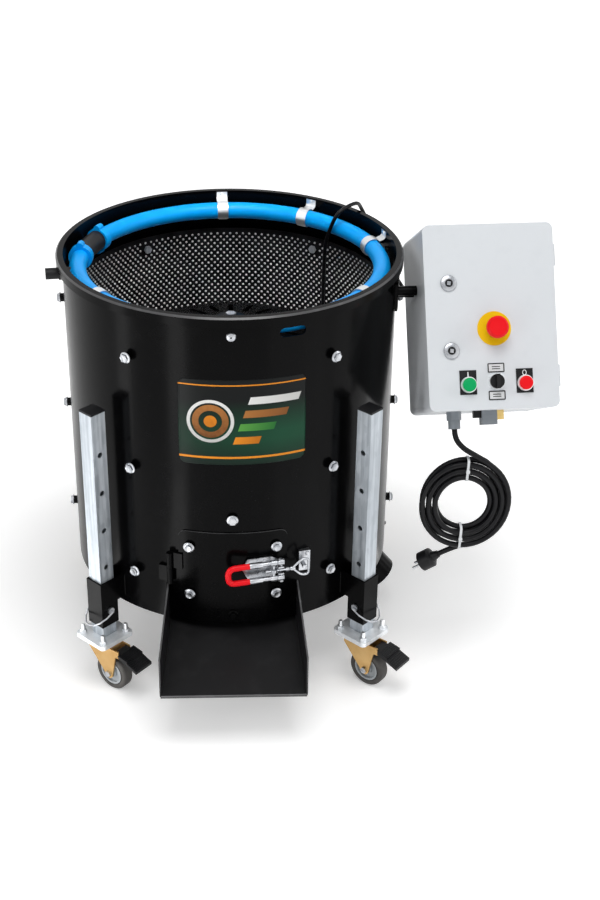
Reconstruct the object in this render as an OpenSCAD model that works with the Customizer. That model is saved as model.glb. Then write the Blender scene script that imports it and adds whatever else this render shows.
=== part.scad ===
// Walnut huller: an upright drum on four height-adjustable caster legs, with a
// spinning cone agitator inside a rasp screen, a water ring under the rim, a
// latched door over a discharge chute, and a tilted control box on the right.
// Millimetres. Floor is Z = 0, the drum axis is the Z axis, the front is -Y.

/* [Drum] */
// outer radius of the drum wall
drum_r = 310; // [250:1:400]
// height of the drum wall
drum_h = 630; // [560:1:800]
// sheet thickness of the drum wall
drum_wall = 2.5; // [1.5:0.1:5]
// outer radius of the rim ring over the drum radius
rim_out = 11; // [6:0.5:20]
// bevel of the rim ring's outer edge
rim_edge = 3; // [1:0.5:5]
// height of the rim ring
rim_h = 18; // [10:0.5:20]
// rim metal above the wall's top edge
rim_cap = 3; // [2:0.5:6]
// height of the floor plate above the drum's bottom edge
floor_lift = 10; // [6:1:16]
// thickness of the floor plate
floor_t = 4; // [3:0.5:8]
// middle of the carrying slot, degrees to the right of the front
slot_az = 20; // [15:1:26]
// width of the carrying slot
slot_w = 48; // [40:1:70]
// height of the carrying slot
slot_h = 17; // [12:1:24]
// middle of the carrying slot below the drum top
slot_drop = 38; // [34:1:50]

/* [Rasp screen] */
// outer radius of the screen below the drum radius
screen_inset = 17; // [14:0.5:24]
// sheet thickness of the screen
screen_t = 1.5; // [1:0.1:3]
// bottom of the screen above the drum's bottom edge
screen_low = 20; // [16:1:30]
// top of the screen above the drum's bottom edge
screen_high = 555; // [500:1:560]
// number of drain holes in one row
drain_count = 48; // [24:2:60]
// radius of a drain hole
drain_r = 6; // [3:0.5:7]
// rows of drain holes above the drum's bottom edge
drain_rows = [34, 216]; // [20:1:260]
// radius of a screen bolt
bolt_r = 4; // [3:0.1:5]
// radius of a screen bolt's spacer
spacer_r = 8; // [6:0.5:10]
// length of the spacer outside the wall
spacer_len = 9; // [5:0.5:14]
// height of a bolt head
bolt_head_h = 5.5; // [4:0.5:8]
// rows of screen bolts above the drum's bottom edge
bolt_rows = [88, 310, 530]; // [60:1:560]
// bolt columns, degrees to the right of the front
bolt_cols = [-145, -90, -35, 35, 90, 145]; // [-180:1:180]

/* [Rotor] */
// top of the hub above the drum's bottom edge
hub_top = 482; // [440:1:520]
// radius of the hub
hub_r = 34; // [26:1:60]
// radius of the crown's edge
crown_r = 190; // [160:1:210]
// height of the crown's edge above the drum's bottom edge
crown_z = 436; // [400:1:460]
// radius of the skirt at the turntable
skirt_r = 232; // [200:1:240]
// radius of the turntable
table_r = 280; // [260:1:284]
// underside of the turntable above the drum's bottom edge
table_z = 44; // [36:1:46]
// sheet thickness of the rotor
rotor_t = 5; // [3:0.5:8]
// number of slots in the crown
crown_slots = 24; // [12:2:30]
// width of a crown slot
crown_slot_w = 10; // [6:0.5:14]
// inner end of a crown slot
crown_slot_in = 96; // [70:1:110]
// outer end of a crown slot
crown_slot_out = 164; // [150:1:175]
// number of ribs on the skirt
rib_count = 6; // [3:1:8]
// thickness of a rib
rib_t = 10; // [6:0.5:14]
// height of a rib over the skirt
rib_h = 15; // [8:0.5:18]
// radius of the rotor shaft
shaft_r = 15; // [12:0.5:20]
// radius of the nut on the shaft's top
cap_nut_r = 10; // [8:0.5:14]
// bottom end of the shaft below the drum's bottom edge
shaft_drop = 78; // [60:1:84]

/* [Drive] */
// radius of the bearing flange under the floor
flange_r = 72; // [60:1:90]
// thickness of the bearing flange
flange_t = 10; // [6:0.5:14]
// radius of the bearing neck through the floor
neck_r = 42; // [34:1:55]
// height of the bearing neck above the floor plate
neck_h = 14; // [8:0.5:18]
// width of the gearbox
gear_w = 124; // [100:1:140]
// height of the gearbox
gear_h = 84; // [70:1:90]
// radius of the motor
motor_r = 56; // [40:1:60]
// length of the motor behind the gearbox
motor_len = 150; // [120:1:190]
// radius of the motor's fan cowl
cowl_r = 60; // [44:1:64]
// length of the fan cowl
cowl_len = 46; // [30:1:60]
// depth of the motor axis below the floor plate
motor_drop = 62; // [56:1:68]

/* [Legs] */
// distance of a leg's axis from the drum wall
leg_out = 40; // [36:1:60]
// legs, degrees to the right of the front
leg_az = [-45, 45, 135, -135]; // [-180:1:180]
// side of a leg tube
leg_w = 32; // [28:0.5:34]
// wall of a leg tube
leg_wall = 2.5; // [1.5:0.1:4]
// top of a leg tube above the drum's bottom edge
leg_top = 418; // [380:1:440]
// foot plate's top below the drum's bottom edge
leg_drop = 59; // [54:1:80]
// radius of an adjusting hole
leg_hole_r = 5.5; // [4:0.5:7]
// lowest adjusting hole above the drum's bottom edge
leg_hole_low = 95; // [85:1:100]
// spacing of the adjusting holes
leg_hole_pitch = 80; // [60:1:100]
// number of adjusting holes above the sleeve
leg_holes = 4; // [2:1:5]
// height of the plastic cap above the tube
leg_cap_h = 4; // [2:0.5:8]
// side of a sleeve
sleeve_w = 40; // [38:0.5:46]
// play between sleeve and leg tube on each side
sleeve_play = 0.5; // [0.3:0.05:1]
// top of a sleeve above the drum's bottom edge
sleeve_top = 64; // [50:1:75]
// bottom of a sleeve below the drum's bottom edge
sleeve_drop = 34; // [24:1:44]
// thickness of a sleeve's weld web
web_t = 5; // [3:0.5:8]
// height of the lock pin below the drum's bottom edge
pin_drop = 1; // [-8:1:8]
// radius of the lock pin
pin_r = 4; // [3:0.1:5]
// radius of the lock pin's head
pin_head_r = 7; // [6:0.5:9]
// thickness of the lock pin's head
pin_head_t = 4; // [3:0.5:6]
// radius of the pin's wire bail
bail_r = 1.6; // [1:0.1:2.5]
// reach of the bail in front of the pin
bail_out = 38; // [36:1:46]
// drop of the bail below the pin
bail_drop = 24; // [20:1:30]
// wire bail clear of the pin's head
bail_side = 4; // [3:0.5:6]
// straight wires in a bail
bail_wires = 8; // [6:2:12]
// side of a foot plate
foot_w = 80; // [74:1:90]
// thickness of a foot plate
foot_t = 6; // [4:0.5:8]
// corner radius of a foot plate
foot_corner = 9; // [4:0.5:14]
// spacing of the foot plate's bolts
foot_pitch = 57; // [52:0.5:60]
// radius of a foot bolt
foot_bolt_r = 4; // [3:0.1:5]
// height of a foot nut
foot_nut_h = 6; // [4:0.5:8]

/* [Casters] */
// height of a caster from the floor to its plate's top
caster_h = 113; // [110:1:118]
// turn of the casters about their swivels, degrees
caster_turn = -40; // [-90:5:90]
// thickness of a caster's top plate
caster_plate_t = 3; // [2:0.5:5]
// radius of the swivel head
swivel_r = 28; // [22:1:30]
// height of the swivel head
swivel_h = 10; // [6:0.5:11]
// wheel offset from the swivel axis
trail = 22; // [14:1:28]
// radius of the wheel
wheel_r = 37.5; // [34:0.5:38]
// width of the tyre
wheel_w = 24; // [18:0.5:26]
// radius of the wheel's centre
wheel_rim_r = 26; // [20:0.5:28]
// rounding of the tyre's shoulders
tyre_round = 5; // [2:0.5:5.5]
// radius of the wheel axle
axle_r = 4; // [3:0.1:5]
// radius of a fork cheek's boss round the axle
boss_r = 10; // [8.5:0.5:12]
// thickness of a fork cheek
cheek_t = 3; // [2:0.5:4]
// side play between wheel and cheek
cheek_play = 2; // [1:0.1:3]
// pedal pivot's distance from the swivel axis
pedal_x = 44; // [40:1:48]
// pedal pivot's height below the caster plate's top
pedal_fall = 22; // [20:0.5:24]
// radius of the pedal's hub
pedal_hub_r = 6.5; // [5:0.5:7]
// radius of the pedal's pin
pedal_pin_r = 3; // [2:0.1:4]
// reach of the pedal beyond its pivot
pedal_len = 56; // [44:1:60]
// drop of the pedal's tip below its pivot
pedal_dip = 17; // [12:0.5:20]
// width of the pedal's tread
pedal_wide = 44; // [36:1:50]
// start of the tread beyond the hub
pedal_clear = 3.5; // [3:0.5:6]
// thickness of the pedal's tread
pedal_t = 6; // [4:0.5:8]

/* [Water ring] */
// radius of the ring's centre line
ring_r = 282; // [276:1:283]
// radius of the pipe
pipe_r = 16; // [12:0.5:17]
// wall of the pipe
pipe_wall = 2.5; // [1.5:0.1:4]
// centre of the pipe below the drum top
ring_drop = 33; // [32:1:36]
// middle of the coupling, degrees to the right of the front
coupling_az = -107; // [-120:1:-100]
// gap in the pipe at the coupling, degrees
coupling_gap = 8; // [4:0.5:12]
// spread of the two collars from the coupling's middle, degrees
collar_spread = 9.5; // [8:0.5:14]
// radius of a collar
collar_r = 22.5; // [20:0.5:24]
// thickness of a collar
collar_t = 16; // [10:0.5:18]
// radius of a collar's bolt lug
lug_r = 6.5; // [5:0.5:8]
// wall of the black sleeve over the pipe ends
coupling_wall = 3; // [2:0.5:6]
// pipe clips, degrees to the right of the front
clip_az = [-177, 148, 107, 56, 0, -55]; // [-180:1:180]
// width of a clip
clip_w = 16; // [10:0.5:24]
// sheet thickness of a clip
clip_t = 2; // [1:0.1:3]
// inlet stub, degrees to the right of the front
inlet_az = -82; // [-90:1:-76]
// radius of the inlet stub
inlet_r = 10.5; // [8:0.1:14]
// length of the inlet stub outside its nut
inlet_len = 24; // [16:1:40]
// radius of the inlet's nut
inlet_nut_r = 12.5; // [11:0.1:12.6]
// thickness of the inlet's nut
inlet_nut_t = 7; // [4:0.5:12]

/* [Door] */
// half width of the door, degrees
door_half = 18.7; // [17:0.1:19]
// bottom of the door above the drum's bottom edge
door_low = 35; // [30:1:40]
// height of the door
door_h = 165; // [150:1:175]
// thickness of the door
door_t = 3; // [2:0.1:5]
// corner radius of the door
door_corner = 14; // [8:0.5:24]
// gap between door and wall
door_gap = 0.4; // [0.3:0.05:1]
// half width of the opening in the wall, degrees
open_half = 16.3; // [15.5:0.1:16.8]
// overlap of the door over the opening's top and bottom
open_lap = 12; // [8:0.5:18]
// half width of the screen's opening, degrees
window_half = 15; // [14:0.1:15.5]
// half width of the door's inner liner, degrees
liner_half = 11.5; // [9:0.1:12]
// height of the door's inner liner
liner_h = 104; // [80:1:110]
// door bolts, degrees each side of the front
door_bolt_az = 14.6; // [13:0.1:16]
// door bolts' distance above and below the door's middle
door_bolt_rise = 51; // [44:1:58]
// hinge axis, degrees to the right of the front
hinge_az = -21.4; // [-23:0.1:-21]
// hinge axis outside the drum radius
hinge_out = 8; // [7.5:0.1:10]
// radius of the hinge barrel
barrel_r = 6; // [5:0.1:7]
// radius of the hinge pin
hinge_pin_r = 3; // [2:0.1:4]
// length of the hinge barrel
barrel_len = 66; // [50:1:80]

/* [Latch] */
// latch frame, degrees to the right of the front
latch_az = 13; // [12:0.1:14]
// latch height above the drum's bottom edge
latch_z = 126; // [118:1:134]
// lever axis above the drum radius
latch_v = 22; // [20:0.1:24]
// lever pivot from the middle of the latch frame
latch_pivot = 14; // [12:0.5:15]
// left end of the base plate
latch_base_left = 56; // [40:1:60]
// half height of the base plate
latch_base_half = 21; // [16:0.5:24]
// thickness of the base plate
latch_base_t = 2.5; // [1.5:0.1:3]
// length of the lever from pivot to grip end
lever_len = 100; // [80:1:106]
// half spacing of the lever's arms
lever_half = 16.5; // [15:0.1:18]
// radius of the lever's arms
lever_r = 3.6; // [2.5:0.1:4]
// radius of the lever's grip
grip_r = 5.5; // [4:0.1:6]
// length of the grip
grip_len = 40; // [30:1:50]
// throw of the hook's pin from the lever's pivot
hook_throw = 14; // [10:0.5:18]
// radius of the hook's rod
hook_rod_r = 2.5; // [2:0.1:3]
// start of the hook's loop from the middle of the latch frame
loop_start = 35; // [33:0.5:38]
// end of the hook's loop from the middle of the latch frame
loop_end = 66; // [62:0.5:70]
// shoulder of the loop from its end
loop_flat = 13; // [8:0.5:14]
// half height of the loop
loop_half = 17; // [14:0.5:19]
// radius of the loop's wire
loop_r = 2; // [1.5:0.1:2.2]
// radius of the ball at the loop's start
ball_r = 4; // [3.5:0.1:5]
// half spacing of the lever's pivot ears
ear_half = 7; // [6:0.1:7.5]
// thickness of an ear
ear_t = 3; // [2:0.1:3.4]
// radius of the lever's pivot pins
pivot_r = 2.5; // [2:0.1:3]

/* [Chute] */
// half width of the chute at the wall
chute_half = 120; // [112:1:130]
// half width of the chute at its lip
chute_lip_half = 133; // [120:1:145]
// lip in front of the drum axis
chute_reach = 450; // [400:1:500]
// lip below the drum's bottom edge
chute_lip_drop = 58; // [40:1:70]
// floor's back below the drum's bottom edge
chute_back_drop = 6; // [4:0.5:14]
// side's top at the wall above the drum's bottom edge
chute_side_top = 80; // [60:1:82]
// side's top at the lip above the drum's bottom edge
chute_side_lip = 22; // [0:1:40]
// sheet thickness of the chute
chute_t = 3; // [2:0.1:5]

/* [Waste outlet] */
// outlet's distance from the drum axis
waste_at = 262; // [250:1:262]
// radius of the outlet pipe
waste_r = 42; // [38:0.5:43]
// radius of the spout's hose end
waste_hose_r = 40; // [30:0.5:41]
// wall of the hose end
waste_wall = 3; // [2:0.5:5]
// straight drop of the outlet below the floor plate
waste_drop = 62; // [56:1:80]
// length of the turned spout
waste_spout = 62; // [50:1:80]
// start of the hose end along the spout
waste_neck = 26; // [24:1:30]
// turn of the spout from straight down, degrees
waste_turn = 40; // [20:1:50]

/* [Control box] */
// middle of the box's face, right of the drum axis
box_x = 470; // [466:1:500]
// middle of the box's face, behind the drum axis
box_y = -146; // [-170:1:-120]
// middle of the box's face above the drum's bottom edge
box_z = 553; // [520:1:580]
// turn of the box about the vertical, degrees
box_yaw = 4; // [0:0.5:8]
// lean of the box's face, degrees
box_lean = 30; // [20:0.5:36]
// width of the box
box_w = 240; // [220:1:245]
// height of the box
box_h = 336; // [300:1:360]
// depth of the box with its lid
box_d = 200; // [150:1:220]
// corner radius of the box
box_corner = 12; // [6:0.5:18]
// sheet thickness of the box
box_wall = 2; // [1.2:0.1:3]
// depth of the lid
lid_d = 16; // [12:0.5:24]
// gap between lid and box
lid_gap = 0.6; // [0.3:0.1:1.5]
// radius of the lid's hinge barrel
lid_barrel_r = 3.2; // [3:0.1:5]
// length of each lid hinge barrel
lid_barrel_len = 40; // [24:1:60]
// spacing of the lid hinges
lid_hinge_pitch = 220; // [160:1:250]
// lid locks from the lid's left edge
lock_in = 44; // [34:1:60]
// lid locks above the face's middle
lock_high = 62; // [40:1:120]
// lid locks below the face's middle
lock_low = 60; // [40:1:120]
// radius of a lid lock
lock_r = 11; // [8:0.5:14]
// emergency stop right of the face's middle
stop_x = 4; // [-10:1:20]
// emergency stop below the face's middle
stop_z = 22; // [10:1:30]
// radius of the yellow disc
disc_r = 31; // [24:0.5:34]
// radius of the mushroom head
mushroom_r = 20; // [18:0.5:24]
// height of the emergency stop's collar
stop_collar_h = 14; // [8:0.5:20]
// height of the mushroom head
mushroom_h = 15; // [10:0.5:20]
// row of buttons below the face's middle
row_z = 118; // [100:1:130]
// spacing of the buttons in the row
row_pitch = 52; // [44:1:58]
// radius of a button's bezel
bezel_r = 14.5; // [12:0.5:18]
// radius of a button's head
button_r = 10; // [7:0.5:11.5]
// width of a label plate
plate_w = 31; // [28:0.5:36]
// height of a label plate
plate_h = 44; // [34:1:50]
// height of a label plate on the knob
knob_plate_h = 17; // [10:0.5:20]
// thickness of a label plate
plate_t = 1; // [0.5:0.1:2]
// travel of a push button
push = 4; // [2:0.5:5]
// gland left of the box's middle
gland_x = 66; // [50:1:90]
// gland behind the box's face
gland_y = 52; // [40:1:70]
// radius of the gland's nut
gland_r = 14; // [11:0.5:18]
// length of the gland
gland_len = 32; // [20:1:44]
// socket left of the box's middle
socket_x = 2; // [-20:1:20]
// width of the socket
socket_w = 56; // [40:1:64]
// length of the socket
socket_len = 26; // [20:1:40]
// middle of the bracket's pad, degrees to the right of the front
bracket_az = 82.5; // [81:0.5:83]
// middle of the pad above the drum's bottom edge
bracket_z = 557; // [550:1:565]
// height of the pad on the drum wall
bracket_h = 58; // [50:1:64]
// width of the pad on the drum wall
bracket_w = 60; // [54:1:62]
// thickness of the pad
bracket_t = 5; // [3:0.5:8]
// radius of a bracket post
post_r = 9; // [6:0.5:12]
// bracket posts above the middle of the box's side
post_z = 60; // [56:1:66]
// depths of the bracket posts behind the box's face
post_depths = [80, 110]; // [78:1:112]

/* [Cords] */
// radius of the mains cord
cord_r = 5.2; // [4:0.1:6]
// radius of the motor's lead
lead_r = 3.8; // [3:0.1:4.5]
// middle of the coil, right of the drum axis
coil_x = 432; // [420:1:450]
// plane of the coil, behind the drum axis
coil_y = -226; // [-250:1:-210]
// middle of the coil above the drum's bottom edge
coil_z = 206; // [190:1:220]
// radius of the coil's innermost loop
coil_in = 50; // [40:1:60]
// step from loop to loop
coil_step = 12.2; // [11.8:0.1:14]
// loops in each layer
coil_loops = 3; // [2:1:4]
// coil's height against its width
coil_tall_share = 1.12; // [1:0.01:1.3]
// plug's body radius
plug_r = 19; // [16:0.5:24]
// plug's body length
plug_len = 40; // [30:1:50]
// radius of a plug pin
prong_r = 2.4; // [2:0.1:3]
// spacing of the plug pins
prong_pitch = 19; // [15:0.5:22]
// length of a plug pin
prong_len = 19; // [15:0.5:24]

/* [Fits] */
// gap between the drum wall and pieces bent to it
wall_gap = 0.3; // [0.2:0.05:0.5]
// gap between the ends of joined cord lengths
cord_gap = 0.6; // [0.4:0.1:1]
// radial play of a turning fit
turn_fit = 0.06; // [0.02:0.01:0.1]
// gap between pieces that move past each other
move_gap = 0.5; // [0.3:0.1:1]
// gap between pieces seated on each other
seat_gap = 0.1; // [0.05:0.01:0.2]
// overrun of a cutter past the piece it cuts
cut = 2; // [1:0.5:4]

/* [Hidden] */
$fn = 48;

steel_black = [0.08, 0.08, 0.09];
zinc = [0.72, 0.74, 0.76];
gold_zinc = [0.78, 0.64, 0.30];
pipe_blue = [0.10, 0.30, 0.72];
rubber_dark = [0.16, 0.16, 0.17];
box_grey = [0.78, 0.79, 0.80];
signal_red = [0.80, 0.08, 0.08];
signal_green = [0.10, 0.60, 0.22];
signal_yellow = [0.95, 0.80, 0.10];

drum_z = caster_h + foot_t + leg_drop;
wall_in = drum_r - drum_wall;
floor_top = drum_z + floor_lift + floor_t;
floor_low = drum_z + floor_lift;
screen_r = drum_r - screen_inset;
door_mid = drum_z + door_low + door_h / 2;
open_h = door_h - 2 * open_lap;
door_in = drum_r + door_gap;
ring_z = drum_z + drum_h - ring_drop;
table_top = drum_z + table_z + rotor_t;
tube_in = leg_w - 2 * leg_wall;
sleeve_in = leg_w + 2 * sleeve_play;
pin_z = drum_z - pin_drop;
pedal_z = caster_h - pedal_fall;
fork_in = wheel_w + 2 * cheek_play;
fork_out = fork_in + 2 * cheek_t;
fork_top = caster_h - caster_plate_t - move_gap;
crown_low = fork_top - swivel_h - cheek_t;
hinge_r = drum_r + hinge_out;
lever_v = drum_r + latch_v;
lid_axis_x = box_w / 2 + lid_barrel_r + lid_gap;
lid_axis_y = lid_d + lid_gap / 2;
lid_leaf = lid_axis_x - box_w / 2 + box_wall / 2;
coil_out = coil_in + coil_step * coil_loops;
nut_share = 1.7;
dome_share = 0.8;
neck_share = 0.4;
gear_col_shares = [-0.3, 0, 0.3];
gear_row_shares = [-0.2, 0.16];
grip_share = 0.9;
head_share = 0.8;
rivet_shares = [0.25, 0.8];
leg_r = drum_r + leg_out;
lock_x = box_w / 2 - lock_in;

// direction helpers: angle 0 is the front, positive to the right
function leg_at(a) = [leg_r * sin(a), -leg_r * cos(a), 0];
module at_az(a) rotate([0, 0, a]) children();
// +Z points outward, +Y up, +X to the right, seen from outside at angle a
module facing(a, r, z) rotate([0, 0, a]) translate([0, -r, z]) rotate([90, 0, 0]) children();
function box_turn(p) = let(y = p[1] * cos(box_lean) + p[2] * sin(box_lean),
    z = p[2] * cos(box_lean) - p[1] * sin(box_lean))
    [p[0] * cos(box_yaw) - y * sin(box_yaw), p[0] * sin(box_yaw) + y * cos(box_yaw), z];
function box_point(p) = [box_x, box_y, drum_z + box_z] + box_turn(p);
module in_box() translate([box_x, box_y, drum_z + box_z]) rotate([0, 0, box_yaw])
    rotate([-box_lean, 0, 0]) children();

module tube(r_out, r_in, h) difference() {
    cylinder(r = r_out, h = h, $fn = 96);
    translate([0, 0, -cut]) cylinder(r = r_in, h = h + 2 * cut, $fn = 96);
}
module round_rect(w, h, r) {
    square([w - 2 * r, h], center = true);
    square([w, h - 2 * r], center = true);
    for (sx = [-1, 1], sy = [-1, 1]) translate([sx * (w / 2 - r), sy * (h / 2 - r)]) circle(r);
}
module stadium(w, h) {
    square([w - h, h], center = true);
    for (s = [-1, 1]) translate([s * (w - h) / 2, 0]) circle(h / 2);
}
// sheet bent to the drum, at the front
module curved_sheet(r_in, t, w, h, corner, z_mid) intersection() {
    translate([0, 0, z_mid - h]) tube(r_in + t, r_in, 2 * h);
    facing(0, 0, z_mid) linear_extrude(r_in + t + cut) round_rect(w, h, corner);
}
module hex(r, h) cylinder(r = r, h = h, $fn = 6);
module rod(a, b, r) let(d = b - a, n = norm(d))
    translate(a) rotate([0, acos(d[2] / n), atan2(d[1], d[0])]) cylinder(r = r, h = n, $fn = 24);
// bent wire as straight lengths, mitred where they meet
module aimed(p, d) translate(p) rotate([0, acos(d[2] / norm(d)), atan2(d[1], d[0])]) children();
module mitred(p, r) for (i = [0 : len(p) - 2]) let(d = unit(p[i + 1] - p[i]), last = len(p) - 2,
    before = i == 0 ? 0 : 2 * r, after = i == last ? 0 : 2 * r) difference() {
    aimed(p[i] - d * before, d) cylinder(r = r, h = norm(p[i + 1] - p[i]) + before + after, $fn = 24);
    if (i > 0) aimed(p[i], d + unit(p[i] - p[i - 1]))
        translate([-4 * r, -4 * r, seat_gap / 2 - 8 * r]) cube(8 * r);
    if (i < last) aimed(p[i + 1], d + unit(p[i + 2] - p[i + 1]))
        translate([-4 * r, -4 * r, -seat_gap / 2]) cube(8 * r);
}
// swept cords
function unit(v) = v / norm(v);
function smooth(p, n) = concat([for (i = [0 : len(p) - 2], k = [0 : n - 1]) let(t = k / n,
    a = p[max(i - 1, 0)], b = p[i], c = p[i + 1], d = p[min(i + 2, len(p) - 1)])
    0.5 * (2 * b + (c - a) * t + (2 * a - 5 * b + 4 * c - d) * t * t
    + (3 * b - a - 3 * c + d) * t * t * t)], [p[len(p) - 1]]);
function ways(p) = [for (i = [0 : len(p) - 1]) unit(p[min(i + 1, len(p) - 1)] - p[max(i - 1, 0)])];
function carried(t, n, i) = i == len(t) ? [] :
    let(m = unit(n - t[i] * (t[i] * n))) concat([m], carried(t, m, i + 1));
module swept(p, r, sides, first) {
    t = ways(p);
    n = carried(t, first, 0);
    rings = [for (i = [0 : len(p) - 1], k = [0 : sides - 1])
        p[i] + r * (n[i] * cos(360 * k / sides) + cross(t[i], n[i]) * sin(360 * k / sides))];
    last = len(p) - 1;
    sides_f = [for (i = [0 : last - 1], k = [0 : sides - 1])
        [i * sides + k, (i + 1) * sides + k, (i + 1) * sides + (k + 1) % sides,
        i * sides + (k + 1) % sides]];
    polyhedron(points = rings, faces = concat(sides_f, [[for (k = [0 : sides - 1]) k]],
        [[for (k = [sides - 1 : -1 : 0]) last * sides + k]]), convexity = 10);
}

// drum
module drum_shell() color(steel_black) difference() {
    translate([0, 0, drum_z]) tube(drum_r, wall_in, drum_h - rim_cap);
    facing(0, drum_r - 2 * screen_inset, door_mid) linear_extrude(3 * screen_inset)
        round_rect(2 * drum_r * sin(open_half), open_h, door_corner);
    for (a = [slot_az, slot_az + 180])
        facing(a, drum_r - screen_inset, drum_z + drum_h - slot_drop)
        linear_extrude(2 * screen_inset) stadium(slot_w, slot_h);
    for (a = bolt_cols, z = bolt_rows)
        facing(a, wall_in - cut, drum_z + z) cylinder(r = bolt_r + seat_gap, h = drum_wall + 2 * cut);
    facing(inlet_az, wall_in - cut, ring_z) cylinder(r = inlet_r + seat_gap, h = drum_wall + 2 * cut);
}
module rim_ring() color(steel_black) translate([0, 0, drum_z + drum_h]) rotate_extrude($fn = 96)
    polygon([[wall_in, -rim_cap + seat_gap], [drum_r + wall_gap, -rim_cap + seat_gap],
    [drum_r + wall_gap, -rim_h], [drum_r + rim_out, -rim_h], [drum_r + rim_out, -rim_edge],
    [drum_r + rim_out - rim_edge, 0], [wall_in, 0]]);
module floor_plate() color(steel_black) difference() {
    translate([0, 0, floor_low]) tube(wall_in - seat_gap, neck_r + seat_gap, floor_t);
    translate([waste_at, 0, floor_low - cut]) cylinder(r = waste_r + seat_gap, h = floor_t + 2 * cut);
}
module rasp_screen() color(zinc) difference() {
    translate([0, 0, drum_z + screen_low]) tube(screen_r, screen_r - screen_t, screen_high - screen_low);
    facing(0, screen_r - screen_inset, door_mid) linear_extrude(2 * screen_inset)
        round_rect(2 * screen_r * sin(window_half), open_h, door_corner);
    for (z = drain_rows, i = [0 : drain_count - 1]) let(a = (i + 0.5) * 360 / drain_count)
        if (min(a, 360 - a) > 4 * window_half / 3 || z > door_low + door_h)
            facing(a, screen_r - screen_t - cut, drum_z + z)
            cylinder(r = drain_r, h = screen_t + 2 * cut, $fn = 16);
    for (a = bolt_cols, z = bolt_rows) facing(a, screen_r - screen_t - cut, drum_z + z)
        cylinder(r = bolt_r + seat_gap, h = screen_t + 2 * cut);
}
module screen_bolt() {
    back = screen_inset + screen_t + 2 * seat_gap;
    translate([0, 0, -back - bolt_head_h]) cylinder(r = bolt_r, h = back + spacer_len + bolt_head_h);
    translate([0, 0, 2 * seat_gap]) cylinder(r = spacer_r, h = spacer_len - 2 * seat_gap);
    translate([0, 0, spacer_len]) hex(spacer_r, bolt_head_h);
    translate([0, 0, -screen_inset + 2 * seat_gap])
        cylinder(r = spacer_r, h = screen_inset - drum_wall - 4 * seat_gap);
    translate([0, 0, -back - bolt_head_h]) hex(spacer_r, bolt_head_h - 2 * seat_gap);
}
module screen_bolts() color(zinc) for (a = bolt_cols, z = bolt_rows)
    facing(a, drum_r, drum_z + z) screen_bolt();

// rotor and drive
module rotor() color(steel_black) {
    difference() {
        rotate_extrude($fn = 96) polygon([[shaft_r, drum_z + hub_top], [hub_r, drum_z + hub_top],
            [hub_r, drum_z + hub_top - 2 * rotor_t], [crown_r, drum_z + crown_z],
            [skirt_r, table_top], [table_r, table_top], [table_r, drum_z + table_z],
            [skirt_r - 1.5 * rotor_t, drum_z + table_z],
            [crown_r - 1.5 * rotor_t, drum_z + crown_z - rotor_t],
            [hub_r, drum_z + hub_top - 5 * rotor_t], [hub_r, drum_z + hub_top - 10 * rotor_t],
            [shaft_r, drum_z + hub_top - 10 * rotor_t]]);
        for (i = [0 : crown_slots - 1]) rotate([0, 0, i * 360 / crown_slots])
            translate([0, (crown_slot_in + crown_slot_out) / 2, drum_z + crown_z - 2 * rotor_t])
            rotate([0, 0, 90]) linear_extrude(hub_top - crown_z)
            stadium(crown_slot_out - crown_slot_in, crown_slot_w);
    }
    for (i = [0 : rib_count - 1]) rotate([90, 0, (i + 0.5) * 360 / rib_count])
        translate([0, 0, -rib_t / 2]) linear_extrude(rib_t)
        polygon([[crown_r - rotor_t, drum_z + crown_z - 4 * rotor_t],
        [crown_r + rib_h, drum_z + crown_z - 8 * rotor_t], [skirt_r + rib_h, table_top],
        [skirt_r - rotor_t, table_top]]);
}
module rotor_shaft() color(zinc) {
    translate([0, 0, drum_z - shaft_drop]) cylinder(r = shaft_r, h = shaft_drop + hub_top);
    translate([0, 0, drum_z + hub_top + seat_gap]) cylinder(r = hub_r - rotor_t, h = rotor_t);
    translate([0, 0, drum_z + hub_top + rotor_t - cut]) hex(cap_nut_r, cap_nut_r + cut);
}
module gearmotor() color(steel_black) {
    difference() {
        union() {
            translate([0, 0, floor_low - flange_t - seat_gap]) cylinder(r = flange_r, h = flange_t);
            translate([0, 0, floor_low - flange_t]) cylinder(r = neck_r, h = flange_t + floor_t + neck_h);
            translate([-gear_w / 2, -gear_w / 2, floor_low - flange_t - gear_h])
                cube([gear_w, gear_w, gear_h]);
        }
        translate([0, 0, floor_low - flange_t - gear_h - cut])
            cylinder(r = shaft_r + turn_fit, h = 2 * gear_h + flange_t + neck_h);
    }
    translate([0, gear_w / 2 - cut, floor_low - motor_drop]) rotate([-90, 0, 0])
        cylinder(r = motor_r, h = motor_len + cut);
    translate([0, gear_w / 2 + motor_len - cowl_len, floor_low - motor_drop]) rotate([-90, 0, 0])
        cylinder(r = cowl_r, h = cowl_len);
}

// legs
module leg_sleeve() difference() {
    union() {
        translate([-sleeve_w / 2, -leg_r - sleeve_w / 2, drum_z - sleeve_drop])
            cube([sleeve_w, sleeve_w, sleeve_drop + sleeve_top]);
        for (s = [-1, 1]) translate([s * (sleeve_w - web_t) / 2 - web_t / 2, -leg_r, drum_z + 2 * pin_head_r])
            cube([web_t, leg_r - drum_r + rim_out, sleeve_top - 2 * pin_head_r - cut]);
    }
    translate([-sleeve_in / 2, -leg_r - sleeve_in / 2, drum_z - sleeve_drop - cut])
        cube([sleeve_in, sleeve_in, sleeve_drop + sleeve_top + 2 * cut]);
    translate([-sleeve_w, -leg_r, pin_z]) rotate([0, 90, 0]) cylinder(r = pin_r + turn_fit, h = 2 * sleeve_w);
    translate([0, 0, drum_z - sleeve_drop - cut])
        cylinder(r = drum_r + wall_gap, h = sleeve_drop + sleeve_top + 2 * cut, $fn = 96);
}
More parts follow.
